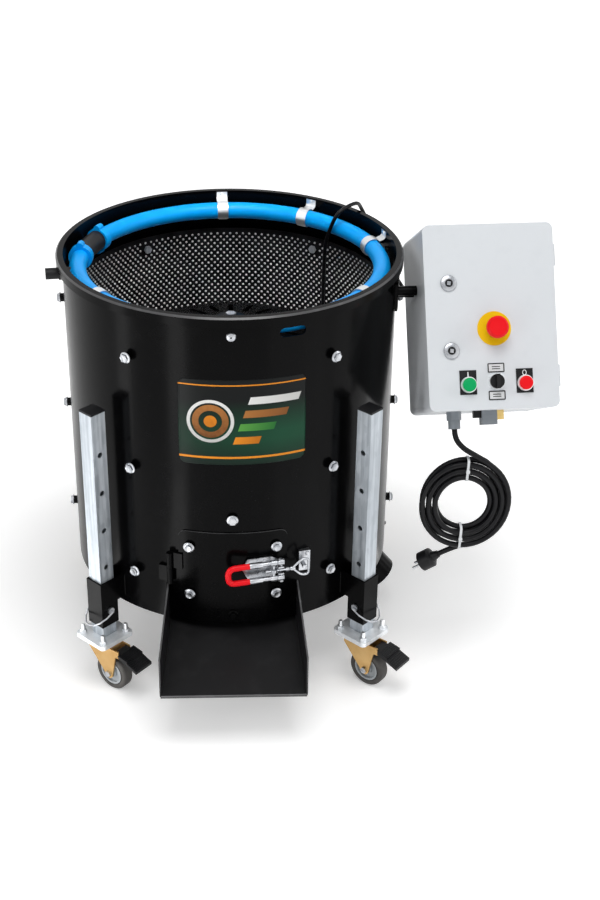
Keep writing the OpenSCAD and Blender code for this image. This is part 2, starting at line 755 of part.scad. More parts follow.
module leg_sleeves() color(steel_black) for (a = leg_az) at_az(a) leg_sleeve();
module foot_bolts(r, low, h) for (sx = [-1, 1], sy = [-1, 1])
    translate([sx * foot_pitch / 2, sy * foot_pitch / 2, low]) cylinder(r = r, h = h, $fn = 24);
module leg(a) color(zinc) at_az(a) translate([0, -leg_r, 0]) {
    foot_top = caster_h + foot_t;
    difference() {
        translate([-leg_w / 2, -leg_w / 2, foot_top + seat_gap])
            cube([leg_w, leg_w, drum_z + leg_top - foot_top - seat_gap]);
        translate([-tube_in / 2, -tube_in / 2, caster_h]) cube([tube_in, tube_in, drum_z + leg_top]);
        for (i = [0 : leg_holes - 1])
            translate([-leg_w, 0, drum_z + leg_hole_low + i * leg_hole_pitch]) rotate([0, 90, 0])
            cylinder(r = leg_hole_r, h = 2 * leg_w, $fn = 24);
        translate([-leg_w, 0, pin_z]) rotate([0, 90, 0]) cylinder(r = leg_hole_r, h = 2 * leg_w, $fn = 24);
    }
    difference() {
        translate([0, 0, caster_h + seat_gap]) linear_extrude(foot_t - seat_gap)
            round_rect(foot_w, foot_w, foot_corner);
        foot_bolts(foot_bolt_r + seat_gap, caster_h - cut, foot_t + 2 * cut);
    }
    difference() {
        translate([0, 0, caster_h - caster_plate_t]) linear_extrude(caster_plate_t)
            round_rect(foot_w, foot_w, foot_corner);
        foot_bolts(foot_bolt_r + seat_gap, caster_h - 2 * caster_plate_t, foot_t);
    }
    for (sx = [-1, 1], sy = [-1, 1]) translate([sx * foot_pitch / 2, sy * foot_pitch / 2, 0]) {
        translate([0, 0, caster_h - caster_plate_t - foot_nut_h / 2])
            cylinder(r = foot_bolt_r, h = caster_plate_t + foot_t + 2 * foot_nut_h, $fn = 24);
        translate([0, 0, caster_h - caster_plate_t - seat_gap - foot_nut_h / 2])
            hex(nut_share * foot_bolt_r, foot_nut_h / 2);
        translate([0, 0, foot_top + seat_gap]) hex(nut_share * foot_bolt_r, foot_nut_h);
    }
    translate([0, 0, drum_z + leg_top + seat_gap]) {
        translate([-leg_w / 2, -leg_w / 2, 0]) cube([leg_w, leg_w, leg_cap_h]);
        translate([-tube_in / 2 + seat_gap, -tube_in / 2 + seat_gap, -3 * leg_cap_h])
            cube([tube_in - 2 * seat_gap, tube_in - 2 * seat_gap, 4 * leg_cap_h]);
    }
}
// a caster is drawn with its wheel behind the swivel along +X, then turned
module at_caster(a) translate(leg_at(a)) rotate([0, 0, caster_turn]) children();
module cheek() {
    reach = pedal_x + pedal_hub_r;
    lug_low = pedal_z - pedal_hub_r;
    polygon([[-swivel_r, crown_low + cheek_t], [reach, crown_low + cheek_t], [reach, lug_low],
        [trail + 2 * boss_r, lug_low], [trail + boss_r, wheel_r], [trail - boss_r, wheel_r],
        [-swivel_r, lug_low]]);
    translate([trail, wheel_r]) circle(boss_r);
}
module fork(a) color(gold_zinc) at_caster(a) {
    translate([0, 0, crown_low]) cylinder(r = swivel_r, h = fork_top - crown_low);
    difference() {
        union() {
            translate([-swivel_r, -fork_out / 2, crown_low]) cube([2 * swivel_r, fork_out, cheek_t]);
            for (s = [-1, 1]) translate([0, s * (fork_in + cheek_t) / 2 + cheek_t / 2, 0]) rotate([90, 0, 0])
                linear_extrude(cheek_t) cheek();
        }
        translate([swivel_r, -fork_in / 2, pedal_z - wheel_r]) cube([wheel_r, fork_in, 2 * wheel_r]);
    }
    translate([trail, fork_out / 2 + axle_r, wheel_r]) rotate([90, 0, 0])
        cylinder(r = axle_r, h = fork_out + 2 * axle_r);
    for (s = [-1, 1]) translate([trail, s * (fork_out / 2 + axle_r / 2) + axle_r / 2, wheel_r])
        rotate([90, 0, 0]) hex(nut_share * axle_r, axle_r);
    translate([pedal_x, fork_out / 2, pedal_z]) rotate([90, 0, 0]) cylinder(r = pedal_pin_r, h = fork_out);
}
module wheel(a) color(rubber_dark) at_caster(a) translate([trail, wheel_w / 2, wheel_r]) rotate([90, 0, 0]) {
    tyre_in = wheel_rim_r + seat_gap;
    rotate_extrude($fn = 96) translate([(wheel_r + tyre_in) / 2, wheel_w / 2])
        round_rect(wheel_r - tyre_in, wheel_w, tyre_round);
    difference() {
        translate([0, 0, cut / 2]) cylinder(r = wheel_rim_r, h = wheel_w - cut);
        translate([0, 0, -cut]) cylinder(r = axle_r + turn_fit, h = wheel_w + 2 * cut);
        for (z = [-cut, wheel_w - cut - axle_r]) translate([0, 0, z])
            tube(wheel_rim_r - axle_r, 3 * axle_r, 2 * cut + axle_r);
    }
}
module pedal(a) color(rubber_dark) at_caster(a) translate([pedal_x, 0, pedal_z]) difference() {
    pedal_w = fork_in - 2 * move_gap;
    near = pedal_hub_r + pedal_clear;
    step = near + (pedal_len - near) / 2;
    union() {
        translate([0, pedal_w / 2, 0]) rotate([90, 0, 0]) cylinder(r = pedal_hub_r, h = pedal_w);
        translate([0, pedal_w / 2, 0]) rotate([90, 0, 0]) linear_extrude(pedal_w)
            polygon([[0, -pedal_hub_r / 2], [0, pedal_hub_r], [near + cut, pedal_hub_r],
            [near + cut, pedal_hub_r - pedal_t]]);
        translate([0, pedal_wide / 2, 0]) rotate([90, 0, 0]) linear_extrude(pedal_wide)
            polygon([[near, pedal_hub_r], [step, pedal_hub_r - pedal_dip / 4],
            [step, pedal_hub_r - pedal_dip / 2], [pedal_len, -pedal_dip + pedal_t], [pedal_len, -pedal_dip],
            [step, pedal_hub_r - pedal_dip / 2 - pedal_t], [near, pedal_hub_r - pedal_t]]);
    }
    translate([0, fork_in / 2, 0]) rotate([90, 0, 0]) cylinder(r = pedal_pin_r + turn_fit, h = fork_in);
}
module pin(a) color(zinc) at_az(a) translate([0, -leg_r, pin_z]) {
    head_x = sleeve_w / 2 + move_gap;
    wire_x = head_x + pin_head_t + bail_side;
    for (s = [-1, 1]) rotate([0, 90 * s, 0]) {
        translate([0, 0, sleeve_in / 2]) cylinder(r = pin_r, h = head_x + pin_head_t - sleeve_in / 2);
        translate([0, 0, head_x]) cylinder(r = pin_head_r, h = pin_head_t);
    }
    mitred(concat([[-head_x - pin_head_t - seat_gap, 0, 0]],
        [for (i = [0 : bail_wires]) let(t = 180 * i / bail_wires)
        [-wire_x * cos(t), -bail_out * sin(t), -bail_drop * sin(t)]],
        [[head_x + pin_head_t + seat_gap, 0, 0]]), bail_r);
}
// water ring
module water_ring() color(pipe_blue) translate([0, 0, ring_z])
    rotate([0, 0, coupling_az - 90 + coupling_gap])
    rotate_extrude(angle = 360 - 2 * coupling_gap, $fn = 96) translate([ring_r, 0]) difference() {
        circle(pipe_r, $fn = 32);
        circle(pipe_r - pipe_wall, $fn = 32);
    }
module ring_coupling() color(pipe_blue) {
    for (s = [-1, 1]) facing(coupling_az + s * collar_spread, ring_r, ring_z) rotate([0, 90, 0])
        translate([0, 0, -collar_t / 2]) difference() {
            union() {
                cylinder(r = collar_r, h = collar_t, $fn = 96);
                for (y = [-1, 1]) translate([0, y * collar_r, 0]) cylinder(r = lug_r, h = collar_t);
            }
            translate([0, 0, -cut]) cylinder(r = pipe_r + 2 * seat_gap, h = collar_t + 2 * cut, $fn = 96);
        }
    translate([0, 0, ring_z]) rotate([0, 0, coupling_az - 90 - coupling_gap])
        rotate_extrude(angle = 2 * coupling_gap, $fn = 96) translate([ring_r, 0]) difference() {
            circle(pipe_r + coupling_wall, $fn = 32);
            circle(pipe_r - pipe_wall, $fn = 32);
        }
}
module pipe_clip() {
    reach = wall_in - ring_r;
    rotate([0, 90, 0]) translate([0, 0, -clip_w / 2]) tube(pipe_r + clip_t, pipe_r + 2 * seat_gap, clip_w);
    difference() {
        translate([-clip_w / 2, -clip_t / 2, 0]) cube([clip_w, clip_t, reach - 2 * seat_gap]);
        rotate([0, 90, 0]) cylinder(r = pipe_r + clip_t / 2, h = 2 * clip_w, center = true);
    }
    translate([-clip_w / 2, -clip_w, reach - clip_t - 2 * seat_gap]) cube([clip_w, clip_w, clip_t]);
}
module pipe_clips() color(zinc) for (a = clip_az) facing(a, ring_r, ring_z) pipe_clip();
module water_inlet() color(rubber_dark) difference() {
    union() {
        facing(inlet_az, ring_r, ring_z) cylinder(r = inlet_r,
            h = drum_r - ring_r + inlet_nut_t + inlet_len);
        facing(inlet_az, drum_r + 4 * seat_gap, ring_z) hex(inlet_nut_r, inlet_nut_t);
    }
    facing(inlet_az, ring_r, ring_z) rotate([0, 90, 0])
        cylinder(r = pipe_r + 2 * seat_gap, h = 4 * inlet_r, center = true);
    facing(inlet_az, ring_r, ring_z) cylinder(r = inlet_r - pipe_wall, h = drum_r);
}

// door and latch
module door_plate() color(steel_black) {
    curved_sheet(door_in, door_t, 2 * drum_r * sin(door_half), door_h, door_corner, door_mid);
    difference() {
        union() {
            facing(hinge_az, hinge_r, door_mid) translate([0, move_gap / 2, 0]) rotate([-90, 0, 0])
                cylinder(r = barrel_r, h = (barrel_len - move_gap) / 2);
            facing(hinge_az, hinge_r, door_mid) translate([0, move_gap / 2, -hinge_out + door_gap + cut / 2])
                cube([4 * barrel_r, (barrel_len - move_gap) / 2, barrel_r - cut / 2]);
        }
        facing(hinge_az, hinge_r, door_mid) rotate([-90, 0, 0])
            cylinder(r = hinge_pin_r + turn_fit, h = barrel_len);
        translate([0, 0, door_mid - door_h]) cylinder(r = door_in, h = 2 * door_h, $fn = 96);
    }
}
module door_hinge() color(steel_black) {
    facing(hinge_az, hinge_r, door_mid) rotate([90, 0, 0]) translate([0, 0, move_gap / 2])
        cylinder(r = barrel_r, h = (barrel_len - move_gap) / 2);
    facing(hinge_az, hinge_r, door_mid) rotate([-90, 0, 0]) translate([0, 0, -barrel_len / 4])
        cylinder(r = hinge_pin_r, h = 3 * barrel_len / 4 + cut);
    difference() {
        facing(hinge_az, hinge_r, door_mid) translate([-4 * barrel_r, -barrel_len / 2, -hinge_out - barrel_r])
            cube([4 * barrel_r, (barrel_len - move_gap) / 2, 2 * barrel_r]);
        translate([0, 0, door_mid - door_h]) cylinder(r = drum_r + wall_gap, h = 2 * door_h, $fn = 96);
        facing(hinge_az, hinge_r, door_mid) translate([-5 * barrel_r, -barrel_len, -barrel_r / 2])
            cube([5 * barrel_r, 2 * barrel_len, 4 * barrel_r]);
    }
}
module door_liner() color(zinc) {
    post = door_in - 2 * wall_gap - screen_r + screen_t / 2;
    rotate([0, 0, -90 - liner_half]) rotate_extrude(angle = 2 * liner_half, $fn = 96)
        translate([screen_r - screen_t, door_mid - liner_h / 2]) square([screen_t, liner_h]);
    for (s = [-1, 1], y = [-1, 1])
        facing(s * liner_half / 2, screen_r - screen_t / 2, door_mid + y * liner_h / 3)
        cylinder(r = spacer_r, h = post);
}
module door_bolts() color(zinc) for (s = [-1, 1], y = [-1, 1])
    facing(s * door_bolt_az, door_in + door_t + 2 * seat_gap, door_mid + y * door_bolt_rise) {
        cylinder(r = spacer_r, h = spacer_len / 2);
        hex(head_share * spacer_r, spacer_len / 2 + bolt_head_h);
    }
// latch frame: X to the right, Y up, Z outward from the drum axis
module in_latch() facing(latch_az, 0, drum_z + latch_z) children();
module latch_base() color(zinc) {
    seat = door_in + door_t + seat_gap;
    in_latch() {
        translate([0, 0, seat]) linear_extrude(latch_base_t) polygon([[-latch_base_left, 0],
            [-latch_base_left + latch_base_half / 2, latch_base_half], [0, latch_base_half],
            [latch_pivot + ear_t, ear_half + ear_t], [latch_pivot + ear_t, -ear_half - ear_t],
            [0, -latch_base_half], [-latch_base_left + latch_base_half / 2, -latch_base_half]]);
        for (s = [-1, 1]) difference() {
            translate([latch_pivot - 2 * ear_t, s * ear_half - ear_t / 2, seat])
                cube([3.5 * ear_t, ear_t, lever_v - seat + 1.5 * pivot_r]);
            translate([latch_pivot, 0, lever_v]) rotate([90, 0, 0])
                cylinder(r = pivot_r + turn_fit, h = 6 * ear_half, center = true);
        }
    }
    difference() {
        in_latch() for (x = rivet_shares, s = [-1, 1])
            translate([-x * latch_base_left, s * latch_base_half * 2 / 3, drum_r - rim_out])
            cylinder(r = latch_base_t, h = seat + latch_base_t + seat_gap + cut / 2 - drum_r + rim_out);
        translate([0, 0, drum_z]) cylinder(r = seat, h = drum_h, $fn = 96);
    }
}
module latch_lever() color(signal_red) in_latch() translate([latch_pivot, 0, lever_v]) {
    grip_x = -lever_len + grip_len;
    for (s = [-1, 1]) {
        rod([0, s * lever_half, 0], [grip_x + seat_gap, s * lever_half, 0], lever_r);
        rod([0, s * (lever_half + lever_r), 0], [0, s * (ear_half - ear_t / 2), 0], pivot_r);
    }
    mitred([[grip_x, -lever_half, 0], [-lever_len, -lever_half, 0], [-lever_len, lever_half, 0],
        [grip_x, lever_half, 0]], grip_r);
    pin_half = lever_half - lever_r - seat_gap;
    rod([-hook_throw, -pin_half, 0], [-hook_throw, pin_half, 0], pivot_r);
}
module latch_hook() color(zinc) in_latch() translate([0, 0, lever_v]) {
    eye_x = latch_pivot - hook_throw;
    difference() {
        union() {
            translate([eye_x, 0, 0]) rotate([90, 0, 0])
                cylinder(r = 2 * pivot_r, h = 2 * ear_t, center = true);
            rod([eye_x, 0, 0], [loop_start, 0, 0], hook_rod_r);
            rod([latch_pivot + 3 * ear_t, 0, 0], [latch_pivot + 5 * ear_t, 0, 0], nut_share * hook_rod_r);
            translate([loop_start, 0, 0]) sphere(ball_r, $fn = 24);
        }
        translate([eye_x, 0, 0]) rotate([90, 0, 0])
            cylinder(r = pivot_r + turn_fit, h = 4 * ear_t, center = true);
    }
    difference() {
        mitred([[loop_start, 0, 0], [loop_end - loop_flat, loop_half, 0], [loop_end, loop_half, 0],
            [loop_end, -loop_half, 0], [loop_end - loop_flat, -loop_half, 0], [loop_start, 0, 0]], loop_r);
        translate([loop_start, 0, 0]) sphere(ball_r + seat_gap, $fn = 24);
    }
}
module latch_keeper() color(zinc) difference() {
    rib_x = loop_end - loop_r - 5 * move_gap;
    sunk = drum_r - 2 * rim_out;
    in_latch() {
        translate([rib_x - 3 * loop_r, -ear_t, sunk])
            cube([3 * loop_r, 2 * ear_t, lever_v + loop_r / 2 - sunk]);
        translate([rib_x - 4 * loop_r, -latch_base_half, sunk])
            cube([latch_base_half, 2 * latch_base_half, 2 * rim_out + loop_r]);
    }
    translate([0, 0, drum_z]) cylinder(r = drum_r + wall_gap, h = drum_h, $fn = 360);
}
// chute and waste outlet
module chute_side(s) {
    run = chute_reach - drum_r * cos(asin(chute_half / drum_r));
    flare = atan2(chute_lip_half - chute_half, run);
    translate([s * chute_half, -chute_reach + run, 0]) rotate([0, 0, s * flare]) rotate([90, 0, -90])
        translate([0, 0, -chute_t / 2]) linear_extrude(chute_t)
        polygon([[-rim_out, drum_z - chute_back_drop - chute_t], [-rim_out, drum_z + chute_side_top],
        [0, drum_z + chute_side_top], [run / cos(flare), drum_z + chute_side_lip],
        [run / cos(flare), drum_z - chute_lip_drop - chute_t], [0, drum_z - chute_back_drop - chute_t]]);
}
module discharge_chute() color(steel_black) difference() {
    back = drum_r - 3 * rim_out;
    slope = atan2(chute_lip_drop - chute_back_drop, chute_reach - back);
    long = (chute_reach - back) / cos(slope);
    union() {
        for (s = [-1, 1]) chute_side(s);
        translate([0, -back, drum_z - chute_back_drop]) rotate([slope, 0, 0]) translate([0, 0, -chute_t])
            linear_extrude(chute_t) polygon([[-chute_half, 0], [chute_half, 0],
            [chute_lip_half, -long], [-chute_lip_half, -long]]);
        translate([0, -chute_reach, drum_z - chute_lip_drop - chute_t]) rotate([0, 90, 0])
            cylinder(r = chute_t, h = 2 * chute_lip_half, center = true);
    }
    translate([0, 0, drum_z]) cylinder(r = drum_r + wall_gap, h = drum_h, $fn = 96);
}
module waste_outlet() color(steel_black) translate([waste_at, 0, floor_low]) difference() {
    bore = waste_hose_r - waste_wall;
    union() {
        translate([0, 0, -waste_drop]) cylinder(r = waste_r, h = waste_drop + floor_t / 2);
        translate([0, 0, -waste_drop]) sphere(waste_r);
        translate([0, 0, -waste_drop]) rotate([0, 180 - waste_turn, 0]) {
            cylinder(r = waste_r, h = waste_neck);
            cylinder(r = waste_hose_r, h = waste_spout);
        }
    }
    translate([0, 0, -waste_drop]) cylinder(r = bore, h = waste_drop + floor_t);
    translate([0, 0, -waste_drop]) sphere(bore);
    translate([0, 0, -waste_drop]) rotate([0, 180 - waste_turn, 0]) cylinder(r = bore, h = waste_spout + cut);
}
// control box; local X right, Y into the box, Z up, face at Y = 0
module box_bracket() color(steel_black) {
    arm = 4 * screen_inset;
    pad_r = drum_r + wall_gap;
    at_az(bracket_az) curved_sheet(pad_r, bracket_t, bracket_w, bracket_h, bracket_t, drum_z + bracket_z);
    difference() {
        in_box() for (y = post_depths) translate([-box_w / 2 - seat_gap - arm, y, post_z]) rotate([0, 90, 0])
            cylinder(r = post_r, h = arm);
        translate([0, 0, drum_z]) cylinder(r = pad_r + bracket_t / 2, h = drum_h, $fn = 96);
    }
}
// block with rounded upright edges seen from the front, from depth a to depth b
module box_block(w, h, r, a, b) translate([0, b, 0]) rotate([90, 0, 0])
    linear_extrude(b - a) round_rect(w, h, r);
module box_body() color(box_grey) in_box() {
    front = lid_d + lid_gap;
    difference() {
        box_block(box_w, box_h, box_corner, front, box_d);
        box_block(box_w - 2 * box_wall, box_h - 2 * box_wall, box_corner - box_wall,
            front - cut, box_d - box_wall);
        translate([-gland_x, gland_y, -box_h / 2 - cut])
            cylinder(r = gland_r / 2 + seat_gap, h = box_wall + 2 * cut);
    }
    for (s = [-1, 1]) translate([0, 0, s * lid_hinge_pitch / 2]) {
        translate([lid_axis_x, lid_axis_y, -lid_barrel_len / 2])
            cylinder(r = lid_barrel_r, h = (lid_barrel_len - move_gap) / 2);
        translate([lid_axis_x, lid_axis_y, -lid_barrel_len / 2])
            cylinder(r = lid_barrel_r / 2, h = lid_barrel_len);
        translate([box_w / 2 - box_wall / 2, lid_axis_y + lid_gap, -lid_barrel_len / 2])
            cube([lid_leaf, lid_barrel_r - lid_gap, (lid_barrel_len - move_gap) / 2]);
    }
}
module box_fittings() color(rubber_dark) in_box() translate([0, gland_y, -box_h / 2]) {
    translate([-gland_x, 0, -gland_len / 2 - seat_gap]) hex(gland_r, gland_len / 2);
    translate([-gland_x, 0, -gland_len]) difference() {
        cylinder(r = dome_share * gland_r, h = gland_len / 2 + seat_gap);
        translate([0, 0, -cut]) cylinder(r = cord_r + seat_gap, h = gland_len / 2);
    }
    translate([-gland_x, 0, -gland_len / 2]) cylinder(r = gland_r / 2, h = gland_len);
    // socket: a housing with a latch block on its left and a contact block on its right
    translate([-socket_x - socket_w / 2, 0, -seat_gap]) {
        translate([socket_w / 4, -gland_r, -socket_len])
            cube([socket_w / 2 - seat_gap, 2 * gland_r, socket_len]);
        translate([0, -gland_r / 2, -socket_len / 2])
            cube([socket_w / 4 - seat_gap, gland_r, socket_len / 2]);
        translate([3 * socket_w / 4, -gland_r / 2, -2 * socket_len / 3])
            cube([socket_w / 4, gland_r, 2 * socket_len / 3]);
    }
}
module box_gear() color(zinc) in_box() translate([0, box_d - box_wall, 0]) {
    rail = box_w - 8 * lid_d / 2;
    translate([-rail / 2, -2 * box_wall - seat_gap, -2 * box_h / 5])
        cube([rail, box_wall * 2, 4 * box_h / 5]);
    for (x = gear_col_shares, z = gear_row_shares) translate([x * rail - lid_d, -4 * lid_d, z * box_h])
        cube([2 * lid_d, 4 * lid_d - 2 * box_wall - 2 * seat_gap, 5 * lid_d]);
}
module lid_hole(x, z, r) translate([x, -cut, z]) rotate([-90, 0, 0]) cylinder(r = r, h = box_wall + 2 * cut);
module box_lid() color(box_grey) in_box() {
    difference() {
        box_block(box_w, box_h, box_corner, 0, lid_d);
        box_block(box_w - 2 * box_wall, box_h - 2 * box_wall, box_corner - box_wall, box_wall, lid_d + cut);
        for (z = [lock_high, -lock_low]) lid_hole(-lock_x, z, lock_r / 2 + turn_fit);
    }
    for (s = [-1, 1]) translate([0, 0, s * lid_hinge_pitch / 2]) difference() {
        union() {
            translate([lid_axis_x, lid_axis_y, move_gap / 2])
                cylinder(r = lid_barrel_r, h = (lid_barrel_len - move_gap) / 2);
            translate([box_w / 2 - box_wall / 2, lid_axis_y - lid_barrel_r, move_gap / 2])
                cube([lid_leaf, lid_barrel_r - lid_gap, (lid_barrel_len - move_gap) / 2]);
        }
        translate([lid_axis_x, lid_axis_y, -lid_barrel_len])
            cylinder(r = lid_barrel_r / 2 + turn_fit, h = 2 * lid_barrel_len);
    }
}
// +Z points out of the lid's face
module on_lid(x, z) in_box() translate([x, -seat_gap, z]) rotate([90, 0, 0]) children();
module lid_plates() color(signal_yellow) {
    on_lid(stop_x, -stop_z) cylinder(r = disc_r, h = plate_t);
    on_lid(stop_x, -stop_z) translate([0, 0, plate_t + seat_gap])
        tube(2 * mushroom_r / 3, neck_share * mushroom_r + move_gap, stop_collar_h);
    for (s = [-1, 1]) on_lid(stop_x + s * row_pitch, -row_z) {
        linear_extrude(plate_t) square([plate_w, plate_h], center = true);
        translate([0, -plate_h / 10, plate_t + seat_gap]) tube(bezel_r, button_r + move_gap, bezel_r / 2);
    }
    for (s = [-1, 1]) on_lid(stop_x, -row_z + s * (bezel_r + knob_plate_h / 2 + cut)) linear_extrude(plate_t)
        square([plate_w, knob_plate_h], center = true);
    on_lid(stop_x, -row_z) tube(bezel_r, button_r / 2 + turn_fit, bezel_r / 3);
}
module lid_lock(z) in_box() translate([-lock_x, 0, z]) rotate([90, 0, 0]) {
    difference() {
        translate([0, 0, move_gap]) cylinder(r = lock_r, h = box_wall * 1.5);
        translate([-lock_r / 2, -box_wall / 2, box_wall]) cube([lock_r, box_wall, box_wall * 2]);
    }
    translate([0, 0, -lid_d]) cylinder(r = lock_r / 2, h = lid_d + box_wall);
    translate([-lock_r / 2, -2 * lock_r, -lid_d + box_wall]) cube([lock_r, 2 * lock_r, box_wall]);
}
module lid_lock_high() color(zinc) lid_lock(lock_high);
module lid_lock_low() color(zinc) lid_lock(-lock_low);
module stop_mushroom() color(signal_red) on_lid(stop_x, -stop_z) {
    lift = push + move_gap;
    neck = plate_t + stop_collar_h + seat_gap;
    edge = mushroom_h / 4;
    translate([0, 0, plate_t + lift]) cylinder(r = neck_share * mushroom_r, h = neck);
    translate([0, 0, neck + lift]) cylinder(r1 = head_share * mushroom_r, r2 = mushroom_r, h = edge);
    translate([0, 0, neck + lift + edge]) cylinder(r = mushroom_r, h = mushroom_h - 2 * edge);
    translate([0, 0, neck + lift + mushroom_h - edge])
        cylinder(r1 = mushroom_r, r2 = head_share * mushroom_r, h = edge);
}
module push_button(s) on_lid(stop_x + s * row_pitch, -row_z)
    translate([0, -plate_h / 10, plate_t + push + 2 * move_gap]) cylinder(r = button_r, h = bezel_r / 2);
module start_button() color(signal_green) push_button(-1);
module stop_button() color(signal_red) push_button(1);
module selector_knob() color(rubber_dark) on_lid(stop_x, -row_z) {
    translate([0, 0, move_gap]) cylinder(r = button_r / 2, h = bezel_r / 2);
    translate([0, 0, bezel_r / 3 + move_gap]) cylinder(r = grip_share * bezel_r, h = bezel_r / 3);
    translate([-button_r / 3, -grip_share * bezel_r, bezel_r / 3 + move_gap])
        cube([2 * button_r / 3, 2 * grip_share * bezel_r, bezel_r]);
}

// cords
coil_first = 60;
coil_trim = 45;
coil_turns = 360 * coil_loops;
function coil_at(s) = let(a = coil_first - s,
    r = s < coil_turns ? coil_out - coil_step * s / 360 :
        s < coil_turns + 180 ? coil_in : coil_in + coil_step * (s - coil_turns - 180) / 360,
    climb = min(max((s - coil_turns) / 180, 0), 1))
    [coil_x + r * cos(a), coil_y + coil_step * climb, drum_z + coil_z + coil_tall_share * r * sin(a)];
coil_round = [for (s = [0 : 15 : 2 * coil_turns + 180 - coil_trim]) coil_at(s)];
coil_last = len(coil_round) - 1;
coil_way_in = unit(coil_round[1] - coil_round[0]);
coil_way_out = unit(coil_round[coil_last] - coil_round[coil_last - 1]);
coil_from = coil_round[0] - 2 * cord_r * coil_way_in;
coil_to = coil_round[coil_last] + 2 * cord_r * coil_way_out;
coil_path = concat([coil_from], coil_round, [coil_to]);
coil_gap = min([for (i = [0 : len(coil_path) - 1], j = [i + 12 : len(coil_path) - 1])
    if (j < len(coil_path)) norm(coil_path[i] - coil_path[j])]) - 2 * cord_r;
echo(coil_gap = coil_gap);
// route points of the mains lead, from the coil's start
lead_route = [[-58, 13, 46], [-53, 6, 37], [-41, 1, 26], [-21, 0, 13]];
lead_path = smooth(concat([for (down = [3 * gland_len / 4, gland_len])
    box_point([-gland_x, gland_y, -box_h / 2 - down])],
    [for (p = lead_route) coil_from + p], [coil_from - cord_gap * coil_way_in]), 4);
// route points of the tail, from the coil's end
tail_route = [[-16, 0, -5], [-32, 2, -13], [-50, 7, -26]];
tail_path = smooth(concat([coil_to + cord_gap * coil_way_out], [for (p = tail_route) coil_to + p]), 4);
plug_at = tail_path[len(tail_path) - 1];
plug_way = [0, -128, -18];
// route points of the probe's lead, heights above the drum's bottom edge
probe_route = [[352, 110, 478], [318, 160, 520], [285, 200, 575], [262, 214, 622], [246, 187, 646],
    [212, 161, 636], [196, 168, 600], [188, 178, 560], [186, 180, 500], [186, 180, 420], [186, 180, 360]];
probe_path = smooth(concat([for (out = [move_gap, 8 * lead_r])
    box_point([2 * gland_r - box_w / 2, box_d + out, 2 * gland_r])],
    [for (p = probe_route) p + [0, 0, drum_z]]), 6);
function path_length(p) = [for (i = [0 : len(p) - 2]) norm(p[i + 1] - p[i])] * [for (i = [0 : len(p) - 2]) 1];
echo(lead = path_length(lead_path), coil = path_length(coil_path), tail = path_length(tail_path),
    probe = path_length(probe_path));
module mains_lead() color(rubber_dark) swept(lead_path, cord_r, 10, [0, 1, 0]);
module mains_coil() color(rubber_dark) swept(coil_path, cord_r, 6, [0, 1, 0]);
module mains_tail() color(rubber_dark) swept(tail_path, cord_r, 10, [0, 1, 0]);
module mains_plug() color(rubber_dark) translate(plug_at) rotate(plug_way) {
    neck = plug_len / 3;
    translate([0, 0, cord_gap]) cylinder(r1 = cord_r + cut / 2, r2 = 2 * cord_r, h = neck);
    for (i = [0 : 2]) translate([0, 0, cord_gap + (i + 1 / 4) * neck / 3])
        cylinder(r = cord_r + (i + 2) * cut / 2, h = neck / 6);
    translate([0, 0, neck]) cylinder(r1 = 2 * plug_r / 3, r2 = plug_r, h = neck / 3);
    translate([0, 0, 4 * neck / 3 - seat_gap]) cylinder(r = plug_r, h = plug_len - 4 * neck / 3 + seat_gap);
    for (s = [-1, 1]) translate([0, s * prong_pitch / 2, plug_len - cut])
        cylinder(r = prong_r, h = prong_len + cut);
}
module probe_lead() color(rubber_dark) {
    swept(probe_path, lead_r, 8, [0, 0, 1]);
    probe_len = 3 * plug_len / 2;
    translate(probe_path[len(probe_path) - 1] - [0, 0, seat_gap + probe_len])
        cylinder(r = 2 * lead_r, h = probe_len);
}

module leg_fl() leg(leg_az[0]);
module leg_fr() leg(leg_az[1]);
module leg_rr() leg(leg_az[2]);
module leg_rl() leg(leg_az[3]);
module fork_fl() fork(leg_az[0]);
module fork_fr() fork(leg_az[1]);
module fork_rr() fork(leg_az[2]);
module fork_rl() fork(leg_az[3]);
module wheel_fl() wheel(leg_az[0]);
module wheel_fr() wheel(leg_az[1]);
module wheel_rr() wheel(leg_az[2]);
module wheel_rl() wheel(leg_az[3]);
module pedal_fl() pedal(leg_az[0]);
module pedal_fr() pedal(leg_az[1]);
module pedal_rr() pedal(leg_az[2]);
module pedal_rl() pedal(leg_az[3]);
module pin_fl() pin(leg_az[0]);
module pin_fr() pin(leg_az[1]);
module pin_rr() pin(leg_az[2]);
module pin_rl() pin(leg_az[3]);

drum_shell();
rim_ring();
floor_plate();
rasp_screen();
screen_bolts();
leg_sleeves();
water_ring();
ring_coupling();
pipe_clips();
water_inlet();
discharge_chute();
door_hinge();
latch_keeper();
waste_outlet();
gearmotor();
box_bracket();
box_body();
box_fittings();
box_gear();
rotor();
rotor_shaft();
door_plate();
door_liner();
door_bolts();
latch_base();
latch_lever();
latch_hook();
box_lid();
lid_plates();
lid_lock_high();
lid_lock_low();
stop_mushroom();
start_button();
stop_button();
selector_knob();
probe_lead();
mains_lead();
mains_coil();
mains_tail();
mains_plug();
leg_fl();
fork_fl();
wheel_fl();
pedal_fl();
pin_fl();
leg_fr();
fork_fr();
wheel_fr();
pedal_fr();
pin_fr();
leg_rr();
fork_rr();
wheel_rr();
pedal_rr();
pin_rr();
leg_rl();
fork_rl();
wheel_rl();
pedal_rl();
pin_rl();
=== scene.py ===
# %% [markdown]
# # A walnut huller, finished
#
# The machine is an upright steel drum that stands on four caster legs. Green walnuts
# and water go in at the top, a cone agitator rolls them along a rasp screen, and the
# clean nuts leave through a latched door over a chute. The construction comes as a
# frame of separate solids. This lesson gives them their finishes and adds the small
# things that carry the look: rasp teeth, flanges under bolt heads, cords, ties, welds.

# %% The frame
import math

